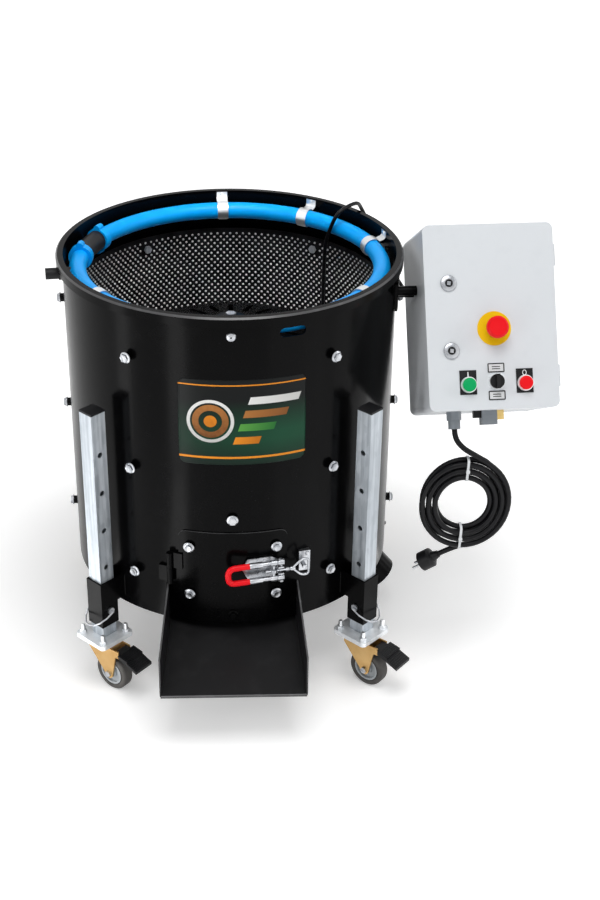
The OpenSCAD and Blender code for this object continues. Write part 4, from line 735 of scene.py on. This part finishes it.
# %% Tooth steel
# The lips' near-white, barely metallic colour is partly bare steel and partly a painted glint.
tooth_steel_glint, flow, surface = new_finish("tooth_steel_glint")
own = flow.node("ShaderNodeNewGeometry", out="Random Per Island")
feed(surface, Base_Color=blend(flow, own, rgb((0.72, 0.73, 0.75)), rgb((1.00, 1.00, 1.00))),
     Metallic=0.15, Roughness=0.20 + 0.25 * own, Normal=bumps(flow, noise(flow, 700, 2), 0.10, 0.0002))
print("finish:", tooth_steel_glint.name)

# %% Teeth
SCREEN_R, ROW, AROUND = 0.2915, 0.0070, 141
BOLT_AZ, BOLT_Z = (-145, -90, -35, 35, 90, 145), (0.088, 0.310, 0.530)
DRAIN_STEP, DRAIN_Z = 7.5, (0.034, 0.216)
WINDOW_AZ, WINDOW_Z = 16.4, (0.042, 0.193)
DRAIN_CLEAR, BOLT_CLEAR = 0.0105, 0.014
SCREEN_Z, LINER_Z, LINER_AZ = (0.026, 0.549), (0.0735, 0.1625), 10.6


def tooth(turn):
    """A crater: its foot, its lip and the dark hole inside the lip."""
    corners = [(0, 0, 0.0008)]
    for r, h in ((0.0024, 0.0), (0.0015, 0.0019), (0.0006, 0.0017)):
        corners += [(r * math.cos(a), r * math.sin(a), h) for a in (math.pi / 3 * k + turn for k in range(6))]
    walls = [[1 + i for i in face] for face in skin(6, 3)[:12]]
    return corners, walls + [(0, 13 + k, 13 + (k + 1) % 6) for k in range(6)]


def rasp(low, high, keep):
    """Teeth in staggered rows, where keep allows one; their holes take the second finish."""
    heap = Heap()
    for row in range(int((high - low) / ROW) + 1):
        z = low + row * ROW
        for k in range(AROUND):
            az = (k + row % 2 / 2) * 360 / AROUND - 180
            if keep(az, z):
                heap.add(tooth(0.3 * row), outward(az, SCREEN_R, z) @ Matrix.Rotation(math.pi, 4, "Y"))
    heap.finish = [0 if len(face) == 4 else 1 for face in heap.faces]
    return heap


def on_screen(az, z):
    """True where the screen has sheet: not in its window, holes or bolts."""
    side = DRUM_R * math.radians(az)
    if abs(az) < WINDOW_AZ and WINDOW_Z[0] < z < WINDOW_Z[1]:
        return False
    steps = az / DRAIN_STEP
    beside = abs(steps - math.floor(steps) - 0.5) * math.radians(DRAIN_STEP) * SCREEN_R
    if any(math.hypot(beside, z - row) < DRAIN_CLEAR for row in DRAIN_Z):
        return False
    return all(math.hypot(side - DRUM_R * math.radians(a), z - h) > BOLT_CLEAR
               for a in BOLT_AZ for h in BOLT_Z)


heap = rasp(*SCREEN_Z, on_screen)
heap.make("rasp_teeth", "drum", tooth_steel_glint, rasp_sheet, slot="rasp_steel", angle=50)
heap = rasp(*LINER_Z, lambda az, z: abs(az) < LINER_AZ)
heap.make("door_rasp_teeth", "door", tooth_steel_glint, rasp_sheet, slot="rasp_steel", angle=50)

# %% [markdown]
# ## Front panel sticker
#
# A rounded sticker lies on the front of the drum: rings and slanting bars in white,
# nut brown, green and orange on a sheet that runs from black to dark green. The sheet
# is bent to the wall and keeps a flat map, so the pattern is drawn on the unrolled
# sheet, one unit wide and one unit high.

# %% Sticker finish
RINGS_AT, TALL = (0.25, 0.52), 0.73
sticker, flow, surface = new_finish("sticker_print")
flat = flow.node("ShaderNodeUVMap")
split = flow.node("ShaderNodeSeparateXYZ", {0: flat})
u, v = split, Flow(flow.tree, split.socket.node.outputs[1])
glow = spread(flow, flow.maths("ABSOLUTE", v - 0.34, 0), 0.05, 0.42, 1, 0)
colour = blend(flow, glow * spread(flow, u, 0, 0.8, 0.35, 1),
               rgb((0.003, 0.004, 0.004)), rgb((0.006, 0.060, 0.028)))


def band(colour, low, high, ink):
    """Lays a level band of ink over the colour."""
    return blend(flow, (v > low) * (v < high), colour, rgb(ink))


def ring(colour, r, wide, ink, dark):
    """Lays a ring of ink over the colour, darker towards its lower edge."""
    x, y = RINGS_AT
    away = ((u - x) ** 2 + ((v - y) * TALL) ** 2) ** 0.5
    shade = spread(flow, v + 0.3 * (noise(flow, 160, 5) - 0.5), y - 0.25, y + 0.20, 1, 0)
    hit = flow.maths("ABSOLUTE", away - r, 0) < wide / 2
    return blend(flow, hit, colour, blend(flow, shade, rgb(ink), rgb(dark)))


def bar(colour, x0, x1, low, high, ink, dark):
    """Lays a slanting bar over the colour, fading along its length."""
    along = u - 0.25 * v
    hit = (along > x0) * (along < x1) * (v > low) * (v < high)
    return blend(flow, hit, colour, blend(flow, spread(flow, along, x0, x1, 0, 1), rgb(ink), rgb(dark)))


WHITE, ORANGE = (0.80, 0.80, 0.78), (0.80, 0.27, 0.02)
NUT, LEAF = (0.42, 0.17, 0.045), (0.10, 0.34, 0.06)
BARS = ((0.76, WHITE, (0.62, 0.62, 0.60)), (0.70, NUT, (0.22, 0.08, 0.02)),
        (0.64, LEAF, (0.02, 0.15, 0.03)), (0.56, ORANGE, (0.50, 0.15, 0.01)))
colour = band(colour, 0.93, 0.945, ORANGE)
colour = ring(colour, 0.170, 0.026, WHITE, (0.55, 0.55, 0.53))
colour = ring(colour, 0.116, 0.050, NUT, (0.14, 0.048, 0.014))
colour = ring(colour, 0.020, 0.060, ORANGE, (0.42, 0.12, 0.01))
for row, (end, ink, dark) in enumerate(BARS):
    top = 0.80 - 0.155 * row
    colour = bar(colour, 0.36, end, top - 0.085, top, ink, dark)
colour = band(colour, 0.075, 0.10, ORANGE)
feed(surface, Base_Color=colour, Roughness=0.26 + 0.10 * noise(flow, 50), Specular_IOR_Level=0.12,
     Normal=bumps(flow, noise(flow, 300, 2), 0.06, 0.0003))
print("sticker bars:", len(BARS))

# %% [markdown]
# The sheet is a grid of rows and columns on the wall. A row is pulled in at its ends
# near the top and bottom edge, which rounds the corners without a hole in the grid.

# %% Sticker sheet
AZ0, AZ1, Z0, Z1, ROUND = -17.5, 24.7, 0.342, 0.509, 0.012
LIFT, FOIL = 0.00035, 0.0003
wide = DRUM_R * math.radians(AZ1 - AZ0)
columns, rows = 48, 16
corners, faces, maps = [], [], []
for j in range(rows + 1):
    z = Z0 + (Z1 - Z0) * (0.5 - 0.5 * math.cos(math.pi * j / rows))
    from_edge = min(z - Z0, Z1 - z)
    inset = ROUND - math.sqrt(max(ROUND ** 2 - max(ROUND - from_edge, 0) ** 2, 0))
    for i in range(columns + 1):
        s = inset + (wide - 2 * inset) * i / columns
        corners.append(outward(AZ0 + math.degrees(s / DRUM_R), DRUM_R + LIFT, z).translation)
        maps.append((s / wide, (z - Z0) / (Z1 - Z0)))
for j in range(rows):
    low, high = j * (columns + 1), (j + 1) * (columns + 1)
    faces += [(low + i, low + i + 1, high + i + 1, high + i) for i in range(columns)]
heap = Heap()
heap.add((corners, faces))
sheet = heap.make("front_sticker", "drum", sticker, slot="black_coat")
layer = sheet.data.uv_layers.new(name="flat")
for loop in sheet.data.loops:
    layer.data[loop.index].uv = maps[loop.vertex_index]
solid = sheet.modifiers.new("thick", "SOLIDIFY")
solid.thickness, solid.offset = FOIL, -1

# %% [markdown]
# ## Bolt heads
#
# The screen bolts are flanged hex bolts on black spacers. The frame carries spacer
# and hex; the flange at its foot and the dished top are added here as turned pieces,
# since the solids themselves stay as they are. Three more fasteners sit on the front: a
# domed rivet under the rim, a flanged bolt above the door and a black one below it.

# %% Flanges and loose bolts
FLANGE = turned([(0.0076, 0.0), (0.0103, 0.0), (0.0104, 0.0009), (0.0092, 0.0021), (0.0072, 0.0027)], 32)
DISH = turned([(0.0066, -0.0004), (0.0066, 0.0005), (0.0060, 0.0008), (0.0050, 0.0003)], 24)
HEX = turned([(0.0080, 0.0), (0.0080, 0.0050), (0.0070, 0.0057)], 6)
COLLAR = turned([(0.0070, 0.0), (0.0070, 0.0050), (0.0062, 0.0058)], 24)
DOME = turned([(0.0085, -0.0002), (0.0085, 0.0009), (0.0072, 0.0028), (0.0040, 0.0040), (0.0024, 0.0043)], 28)
PIP = turned([(0.0014, 0.0), (0.0014, 0.0050)], 12)
BLACK_WASHER = turned([(0.0090, -0.0002), (0.0090, 0.0016), (0.0075, 0.0020)], 24)
BLACK_HEX = turned([(0.0066, 0.0), (0.0066, 0.0062), (0.0056, 0.0069)], 6)
BRIGHT, BLACK = 0, 1
HEAD_TOP, DOOR_HEAD_FOOT, DOOR_HEAD_TOP = 0.0145, 0.0080, 0.0135
DOOR_BOLT_AZ, DOOR_BOLT_Z = (-14.6, 14.6), (0.0665, 0.1685)
RIVET_Z, HIGH_BOLT_Z, LOW_BOLT_Z = 0.591, 0.230, 0.021
LOOSE = ((COLLAR, -0.0002, HIGH_BOLT_Z, BLACK), (FLANGE, 0.0055, HIGH_BOLT_Z, BRIGHT),
         (HEX, 0.0066, HIGH_BOLT_Z, BRIGHT), (DOME, 0, RIVET_Z, BRIGHT), (PIP, 0, RIVET_Z, BLACK),
         (BLACK_WASHER, 0, LOW_BOLT_Z, BLACK), (BLACK_HEX, 0.0015, LOW_BOLT_Z, BLACK))


def dress(heap, az, z, foot, top):
    """Adds the flange at a bolt head's foot and the dish in its top, so far out of the wall."""
    heap.add(FLANGE, outward(az, DRUM_R + foot, z))
    heap.add(DISH, outward(az, DRUM_R + top, z))


heap = Heap()
for az in BOLT_AZ:
    for z in BOLT_Z:
        dress(heap, az, z, SPACER, HEAD_TOP)
for shape, out, z, finish in LOOSE:
    heap.add(shape, outward(0, DRUM_R + out, z), finish)
heap.make("wall_bolt_flanges", "drum", zinc, black_coat, slot="zinc")
heap = Heap()
for az in DOOR_BOLT_AZ:
    for z in DOOR_BOLT_Z:
        dress(heap, az, z, DOOR_HEAD_FOOT, DOOR_HEAD_TOP)
heap.make("door_bolt_flanges", "door", zinc, slot="zinc")

# %% [markdown]
# ## Pipe straps
#
# Thin bright straps hold the water ring: each hangs from the wall, turns over the pipe
# and closes under it. A strap is one flat strip swept along that path, over the clip of
# the frame.

# %% Straps
STRAP_AZ, STRAP_R = (-177, 148, 107, 56, 0, -55), 0.0185
RIVET_AT = Matrix.Translation((0, 0.0255, 0.3065)) @ Matrix.Rotation(math.pi, 4, "X")
hang = [(0.3069, 0.0300), (0.3069, 0.0200), (0.3045, 0.0165), (0.2995, 0.0145)]
for degrees in range(45, 226, 12):
    a = math.radians(degrees)
    hang.append((RING_R + STRAP_R * math.cos(a), STRAP_R * math.sin(a)))
strap = swept([Vector((0, z, r)) for r, z in hang], oblong(0.0004, 0.0105), Vector((1, 0, 0)))
RIVET = turned([(0.0034, -0.0002), (0.0034, 0.0008), (0.0022, 0.0017)], 20)
heap = Heap()
for az in STRAP_AZ:
    here = outward(az, 0, RING_Z - DRUM_Z)
    heap.add(strap, here)
    heap.add(RIVET, here @ RIVET_AT)
heap.make("pipe_straps", "drum", clip_steel, slot="zinc")

# %% [markdown]
# ## Toggle latch
#
# The lever and the hook of the latch are bent from round wire. The frame has them as
# straight rods with mitred corners; here each wire goes round its bends in one sweep.
# The lever's end is dipped in red plastic and its arms run in plated sleeves. The hook
# is a threaded rod with a nut, and a ferrule closes the loop that pulls the keeper.

# %% Bent wire
def bent(points, bend, steps=7):
    """A path of straight runs with its inner corners rounded."""
    points = [Vector(p) for p in points]
    path = [points[0]]
    for a, b, c in zip(points, points[1:], points[2:]):
        reach = min(bend, 0.48 * (a - b).length, 0.48 * (c - b).length)
        start, end = b + (a - b).normalized() * reach, b + (c - b).normalized() * reach
        path += [start.lerp(b, k / steps).lerp(b.lerp(end, k / steps), k / steps) for k in range(steps + 1)]
    return path + [points[-1]]


def wire(r, sides=14):
    """A round section for swept()."""
    angles = [2 * math.pi * k / sides for k in range(sides)]
    return [(r * math.cos(a), r * math.sin(a)) for a in angles]


def screwed(r, length, pitch):
    """A profile of a threaded rod: its radius beats along its length."""
    count = int(length / pitch)
    return [(r - 0.00035 * (k % 2), length * k / (2 * count)) for k in range(2 * count + 1)]


def lying(heap, profile, sides, start, x, finish=0):
    """Adds a turned piece that lies along X and begins at x."""
    along = Matrix.Rotation(math.pi / 2, 4, "Y")
    heap.add(turned(profile, sides), start @ Matrix.Translation((x, 0, 0)) @ along, finish)


OUT, ACROSS = Vector((0, 0, 1)), Matrix.Rotation(-math.pi / 2, 4, "X")
PIVOT_R = 0.332
print("latch stands on", tuple(round(v, 3) for v in LATCH.translation))

# %% [markdown]
# The lever is one bent wire with two arms. Each arm runs through a sleeve and two bosses
# to a hexagon bolt, which is its hinge on the ears of the base.

# %% Lever
TOGGLE, GRIP_FROM, GRIP_TO = 0.014, -0.0580, -0.0995
GRIP_BEND, GRIP_R = 0.014, 0.0056
pivot = LATCH @ Matrix.Translation((TOGGLE, 0, PIVOT_R))
half, arm = 0.0165, 0.0042
sleeve = [(0.0052, 0.0), (0.0062, 0.0010), (0.0062, 0.0240), (0.0054, 0.0250)]
boss = [(0.0047, 0.0), (0.0056, 0.0009), (0.0056, 0.0110), (0.0047, 0.0119)]
hinge = [(0.0025, -0.0105), (0.0025, 0.0040), (0.0052, 0.0041), (0.0052, 0.0072), (0.0045, 0.0079)]
ARM = ((sleeve, 20, -0.0602), ([(arm, 0.0), (arm, 0.0370)], 18, -0.0355),
       (boss, 20, -0.0200), (boss[:3] + [(0.0030, 0.0122)], 20, -0.0062))
heap = Heap()
grip = [(GRIP_FROM, half, 0), (GRIP_TO, half, 0), (GRIP_TO, -half, 0), (GRIP_FROM, -half, 0)]
heap.add(swept(bent(grip, GRIP_BEND), wire(GRIP_R), OUT), pivot)
for side in (-1, 1):
    row = pivot @ Matrix.Translation((0, side * half, 0))
    for profile, sides, x in ARM:
        lying(heap, profile, sides, row, x, 1)
    heap.add(turned(hinge, 6), row @ (ACROSS if side > 0 else ACROSS.inverted()), 1)
pin = turned([(0.0024, -0.0125), (0.0024, 0.0125)], 16)
heap.add(pin, pivot @ Matrix.Translation((-TOGGLE, 0, 0)) @ ACROSS, 1)
lever = heap.make("latch_lever_wire", "lever", red_grip, zinc, slot="red_grip", angle=40)
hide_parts("latch_lever")

# %% [markdown]
# The hook turns on an eye at the lever's pin. Its rod is threaded on both sides of the
# eye, so the nut sets how hard the latch pulls. Two screws hold the keeper on the wall.

# %% Hook and keeper
eye = LATCH @ Matrix.Translation((0, 0, PIVOT_R))
EYE_R, ROD_R, PITCH = 0.0039, 0.0026, 0.0010
LOOP_BEND, LOOP_R = 0.0085, 0.0022
SCREW_X, SCREW_Y, SCREW_R = 0.0690, 0.0150, 0.3120
nut = [(0.0044, 0.0), (0.0050, 0.0006), (0.0050, 0.0054), (0.0044, 0.0060)]
ferrule = [(0.0030, 0.0), (0.0042, 0.0012), (0.0044, 0.0060), (0.0036, 0.0100)]
ROD = ((screwed(ROD_R, 0.0110, PITCH), 16, -0.0158), (screwed(ROD_R, 0.0270, PITCH), 16, 0.0048),
       (nut, 6, 0.0230), (ferrule, 20, 0.0300))
loop = [(0.0360, 0.0016, 0), (0.0520, 0.0168, 0), (0.0660, 0.0168, 0),
        (0.0660, -0.0168, 0), (0.0520, -0.0168, 0), (0.0360, -0.0016, 0)]
heap = Heap()
turn = [Vector((a, 0, b)) for a, b in wire(EYE_R, 24)]
heap.add(swept(turn, oblong(0.0013, 0.0030), Vector((0, 1, 0)), True), eye)
for profile, sides, x in ROD:
    lying(heap, profile, sides, eye, x)
heap.add(swept(bent(loop, LOOP_BEND), wire(LOOP_R), OUT), eye)
hook = heap.make("latch_hook_wire", "hook", zinc, slot="zinc", angle=40)
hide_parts("latch_hook")
screw = turned([(0.0046, -0.0002), (0.0046, 0.0008), (0.0038, 0.0022), (0.0020, 0.0029)], 24)
heap = Heap()
for y in (-SCREW_Y, SCREW_Y):
    heap.add(screw, LATCH @ Matrix.Translation((SCREW_X, y, SCREW_R)))
heap.make("keeper_screws", "drum", zinc, slot="zinc")

# %% [markdown]
# ## Control box details
#
# A dark rubber gasket closes the gap between lid and box. The push-button plates get
# the plain marks for on and off, a line and a ring. The small pale plates at the
# selector get two dark lines in a dark frame. All could be masks in a finish, but as
# thin solids they keep sharp edges from near and far.

# %% Gasket and marks
def on_lid(x, z, out=0.0):
    """Place on the lid: X right, Y up, Z out of the face."""
    return BOX @ Matrix.Translation((x, -out, z)) @ Matrix.Rotation(math.pi / 2, 4, "X")


def rounded_loop(w, h, r):
    """Points round a rectangle with rounded corners, in the XY plane."""
    loop = []
    for cx, cy, start in ((w / 2 - r, h / 2 - r, 0), (r - w / 2, h / 2 - r, 90),
                          (r - w / 2, r - h / 2, 180), (w / 2 - r, r - h / 2, 270)):
        for k in range(7):
            a = math.radians(start + 15 * k)
            loop.append(Vector((cx + r * math.cos(a), cy + r * math.sin(a), 0)))
    return loop


def ribbon(loop, wide, thick):
    """A flat band that lies along a closed loop, for gaskets, borders and marks."""
    section = [(-wide / 2, 0), (wide / 2, 0), (wide / 2, thick), (-wide / 2, thick)]
    return swept(loop, section, Vector((0, 0, 1)), True)


START_X, STOP_X, MARK_Z, BUTTON_Z = -0.048, 0.056, -0.1035, -0.1224
PRINT, INK = 0.0011, 0.0003
STROKE, LINE = block(0.0022, 0.0090, INK, 0.0001), block(0.0150, 0.0014, INK, 0.0001)
GASKET, GASKET_OUT = (0.2320, 0.3280, 0.009), -0.01655
LABEL, LABEL_OFF, LINE_OFF = (0.0290, 0.0150, 0.0010), 0.025, 0.002
oval = [Vector((0.0034 * a, 0.0045 * b, 0)) for a, b in wire(1, 24)]
heap = Heap()
heap.add(ribbon(rounded_loop(*GASKET), 0.006, 0.0005), on_lid(0, 0, GASKET_OUT))
heap.make("lid_gasket", "drum", tyre, slot="dark_plastic")
heap = Heap()
heap.add(STROKE, on_lid(START_X, MARK_Z, PRINT))
heap.add(ribbon(oval, 0.0014, INK), on_lid(STOP_X, MARK_Z, PRINT))
for z in (KNOB_Z - LABEL_OFF, KNOB_Z + LABEL_OFF):
    for shift in (-LINE_OFF, LINE_OFF):
        heap.add(LINE, on_lid(LID_X, z + shift, PRINT), 1)
    heap.add(ribbon(rounded_loop(*LABEL), 0.0020, 0.0004), on_lid(LID_X, z, PRINT), 1)
heap.make("lid_marks", "lid", pale_plate, dark_plastic, slot="lid_trim")

# %% [markdown]
# The push buttons have domed caps that nearly hide their bezels, and each lock a bright
# washer round a dark well with a square key. All are turned shapes, the key with four
# sides, and each rides on the piece that moves.

# %% Button caps and lock faces
LOCK_X, LOCK_Z = -0.076, {"lock_high": 0.062, "lock_low": -0.060}
CAP = turned([(0.0040, 0.0127), (0.0118, 0.0127), (0.0125, 0.0132), (0.0124, 0.0140),
              (0.0112, 0.0146), (0.0060, 0.0149), (0.0002, 0.0150)], 40)
WASHER = turned([(0.0148, 0.0006), (0.0150, 0.0016), (0.0138, 0.0034), (0.0104, 0.0046),
                 (0.0074, 0.0046), (0.0068, 0.0036)], 40)
WELL = turned([(0.0069, 0.0036), (0.0042, 0.00365)], 32)
KEY = turned([(0.0048, 0.0036), (0.0048, 0.0047), (0.0042, 0.0052), (0.0002, 0.0052)], 4, 0.4)
CAPS = (("start", START_X, green_cap, "green_cap"), ("stop", STOP_X, red_cap, "red_cap"))
for body, x, finish, slot in CAPS:
    heap = Heap()
    heap.add(CAP, on_lid(x, BUTTON_Z))
    heap.make(body + "_cap", body, finish, slot=slot)
for body, z in LOCK_Z.items():
    heap = Heap()
    for shape, finish in ((WASHER, 0), (WELL, 1), (KEY, 0)):
        heap.add(shape, on_lid(LOCK_X, z), finish)
    heap.make(body + "_face", body, zinc, dark_plastic, slot="zinc")

# %% [markdown]
# ## Welds
#
# The leg sleeves hang on webs that are welded to the drum, and the chute's sides are
# welded to its wall. A hand weld is a row of overlapping ripples. Here it is a tube
# whose radius beats along its path, laid into the corner and painted with the drum.

# %% Weld beads
RIPPLE, PROUD = 0.0012, 0.0006


def weld(heap, path, r):
    """A rippled bead along straight pieces of path."""
    line = []
    for a, b in zip(path, path[1:]):
        count = max(2, int((b - a).length / RIPPLE))
        line += [a.lerp(b, k / count) for k in range(count)]
    line.append(path[-1])
    corners, around = [], [2 * math.pi * k / 8 for k in range(8)]
    for i, p in enumerate(line):
        way = (line[min(i + 1, len(line) - 1)] - line[max(i - 1, 0)]).normalized()
        side = way.cross(Vector((0.3, 0.5, 0.81))).normalized()
        high = side.cross(way)
        size = r * (0.35 if i in (0, len(line) - 1) else 1 + 0.22 * math.sin(2.2 * i))
        corners += [p + (side * math.cos(a) + high * math.sin(a)) * size for a in around]
    heap.add((corners, skin(8, len(line))))


def seam(heap, az, beside, low, high, r):
    """Two upright beads on the wall, so far to both sides of an angle."""
    for side in (-1, 1):
        lean = math.degrees(math.asin(side * beside / DRUM_R))
        weld(heap, [outward(az + lean, DRUM_R + PROUD, z).translation for z in (low, high)], r)


WEB_SEAM, CHUTE_SEAM = (0.0200, 0.015, 0.061, 0.0024), (0.1215, 0.004, 0.078, 0.0022)
heap = Heap()
for az in LEG_AZ.values():
    seam(heap, az, *WEB_SEAM)
seam(heap, 0, *CHUTE_SEAM)
heap.make("weld_beads", "drum", black_coat, slot="black_coat", angle=60)

# %% [markdown]
# ## Caster details
#
# The brake pedals have ribbed treads, so that a shoe doesn't slip, and the studs on
# the foot plates carry threads above their nuts. Both could be bumps, but they show in
# the outline: a rib is a small block, a thread a profile that beats along its length.

# %% Treads and threads
PEDAL = Matrix.Translation((0.044, 0, 0.091))
TREADS = ((Vector((0.0100, 0, 0.0065)), Vector((0.0330, 0, 0.0023))),
          (Vector((0.0330, 0, -0.0020)), Vector((0.0560, 0, -0.0110))))
RIB = block(0.0018, 0.0410, 0.0011, 0.0004)
NUT_H, THREAD = 0.0061, 0.0012
thread = []
for i in range(9):
    thread += [(0.0037, THREAD * i), (0.0043, THREAD * i + THREAD / 2)]
thread += [(0.0037, 0.0108), (0.0030, 0.0118)]
for k in LEGS:
    heap = Heap()
    for a, b in TREADS:
        slope = math.atan2(b.z - a.z, b.x - a.x)
        for i in range(5):
            spot = Matrix.Translation(a.lerp(b, 0.14 + 0.18 * i)) @ Matrix.Rotation(-slope, 4, "Y")
            heap.add(RIB, caster(k) @ PEDAL @ spot)
    heap.make("pedal_tread_" + k, "pedal_" + k, dark_plastic, slot="dark_plastic")
    heap = Heap()
    for sx in (-STUD, STUD):
        for sy in (-STUD, STUD):
            stud = outward(LEG_AZ[k], LEG_R, 0) @ Matrix.Translation((sx, PLATE_TOP + NUT_H, sy))
            heap.add(turned(thread, 20), stud @ ACROSS)
    heap.make("stud_threads_" + k, "leg_" + k, clip_steel, slot="zinc")

# %% [markdown]
# ## Light and floor
#
# Black gloss shows only what it reflects, so the light is level and soft. The surround
# is plain white to the camera and to mirrors, and a weaker white as a light.

# %% Surround
world = bpy.data.worlds.new("surround")
scene.world = world
world.use_nodes = True
flow = Flow(world.node_tree)


def looked_at(flow):
    """1 for rays of the camera, of a mirror or through glass, 0 for those that carry light."""
    outs = flow.node("ShaderNodeLightPath").socket.node.outputs
    rays = [Flow(flow.tree, outs[name]) for name in ("Is Camera Ray", "Is Glossy Ray", "Is Transmission Ray")]
    return flow.maths("MINIMUM", rays[0] + rays[1] + rays[2], 1)


SURROUND = 0.28
back = world.node_tree.nodes["Background"]
flow.tree.links.new((SURROUND + (1 - SURROUND) * looked_at(flow)).socket, back.inputs["Strength"])
back.inputs["Color"].default_value = (1, 1, 1, 1)
scene.view_settings.view_transform = "Standard"
print("surround lights at", SURROUND)

# %% [markdown]
# One tall panel stands on the left front, one on the right, and one hangs overhead. A
# narrow lamp above the drum reaches the screen inside it. Seen from above, the upright
# wall mirrors what stands and lies low around it, so four weak pairs of strips near the
# floor draw the soft bands down the drum.


# %% Lamps
def panel(name, place, turn, wide, high, power, beam=180):
    light = bpy.data.lights.new(name, "AREA")
    light.shape, light.size, light.size_y, light.energy = "RECTANGLE", wide, high, power
    light.spread = math.radians(beam)
    obj = bpy.data.objects.new(name, light)
    scene.collection.objects.link(obj)
    obj.visible_camera = False
    obj.location, obj.rotation_euler = place, turn


def towards(place, aim):
    return (Vector(aim) - Vector(place)).to_track_quat("-Z", "Y").to_euler()


MIDDLE, WELL_AIM, WELL_FROM = (0, 0, 0.5), (0, 0.16, 0.5), (0, -0.15, 1.75)
PANELS = (("left_panel", (-2.4, -2.0, 1.9), 0.8, 2.2, 7), ("right_panel", (2.8, -0.6, 1.7), 0.7, 2.2, 18),
          ("over_panel", (0.1, -1.0, 3.1), 1.5, 1.5, 38))
STRIPS = ((-68, 0.20, 1.5), (-32, 0.22, 2.4), (40, 0.75, 0.9), (101, 0.12, 0.8))
WELL_WIDE, WELL_POWER, WELL_BEAM = 0.30, 0.45, 34
UPRIGHT_R, UPRIGHT_Z, UPRIGHT_HIGH = 1.15, 0.48, 0.90
FLAT_R, FLAT_Z, FLAT_LONG, FLAT_WIDE_SHARE, FLAT_POWER_SHARE = 0.80, 0.004, 0.66, 0.7, 0.5
for name, place, wide, high, power in PANELS:
    panel(name, place, towards(place, MIDDLE), wide, high, power)
panel("well_panel", WELL_FROM, towards(WELL_FROM, WELL_AIM), WELL_WIDE, WELL_WIDE, WELL_POWER, WELL_BEAM)
for az, wide, power in STRIPS:
    a = math.radians(az)
    upright = (UPRIGHT_R * math.sin(a), -UPRIGHT_R * math.cos(a), UPRIGHT_Z)
    aim = (0, 0, UPRIGHT_Z)
    panel("upright_strip_%d" % (az % 360), upright, towards(upright, aim), wide, UPRIGHT_HIGH, power)
    flat = (FLAT_R * math.sin(a), -FLAT_R * math.cos(a), FLAT_Z)
    panel("flat_strip_%d" % (az % 360), flat, (math.pi, 0, a), FLAT_WIDE_SHARE * wide, FLAT_LONG,
          FLAT_POWER_SHARE * power)
print("lamps:", len(PANELS) + 1 + 2 * len(STRIPS))

# %% [markdown]
# The floor is a pale sheet that catches a soft shadow. It glows towards the camera, a
# little near the drum and more further out, so it runs out into the white without an edge.

# %% Floor
HALF_FLOOR = 6
floor_mesh = bpy.data.meshes.new("pale_floor")
floor_mesh.from_pydata([(x, y, 0) for x, y in oblong(HALF_FLOOR, HALF_FLOOR)], [], [(0, 1, 2, 3)])
floor = bpy.data.objects.new("pale_floor", floor_mesh)
scene.collection.objects.link(floor)
floor_paper, flow, surface = new_finish("floor_paper")
where = flow.node("ShaderNodeTexCoord", out="Object")
far = flow.node("ShaderNodeVectorMath", {0: where}, out="Value", operation="LENGTH")
fade = spread(flow, far, 0.30, 1.15, 0.26, 0.85)
feed(surface, Base_Color=blend(flow, noise(flow, 3), rgb((0.90, 0.90, 0.90)), rgb((0.93, 0.93, 0.93))),
     Roughness=0.8, Specular_IOR_Level=0.0, Emission_Strength=1.0,
     Emission_Color=blend(flow, looked_at(flow) * fade, rgb((0, 0, 0)), rgb((1, 1, 1))))
floor_mesh.materials.append(floor_paper)
print("floor ready")
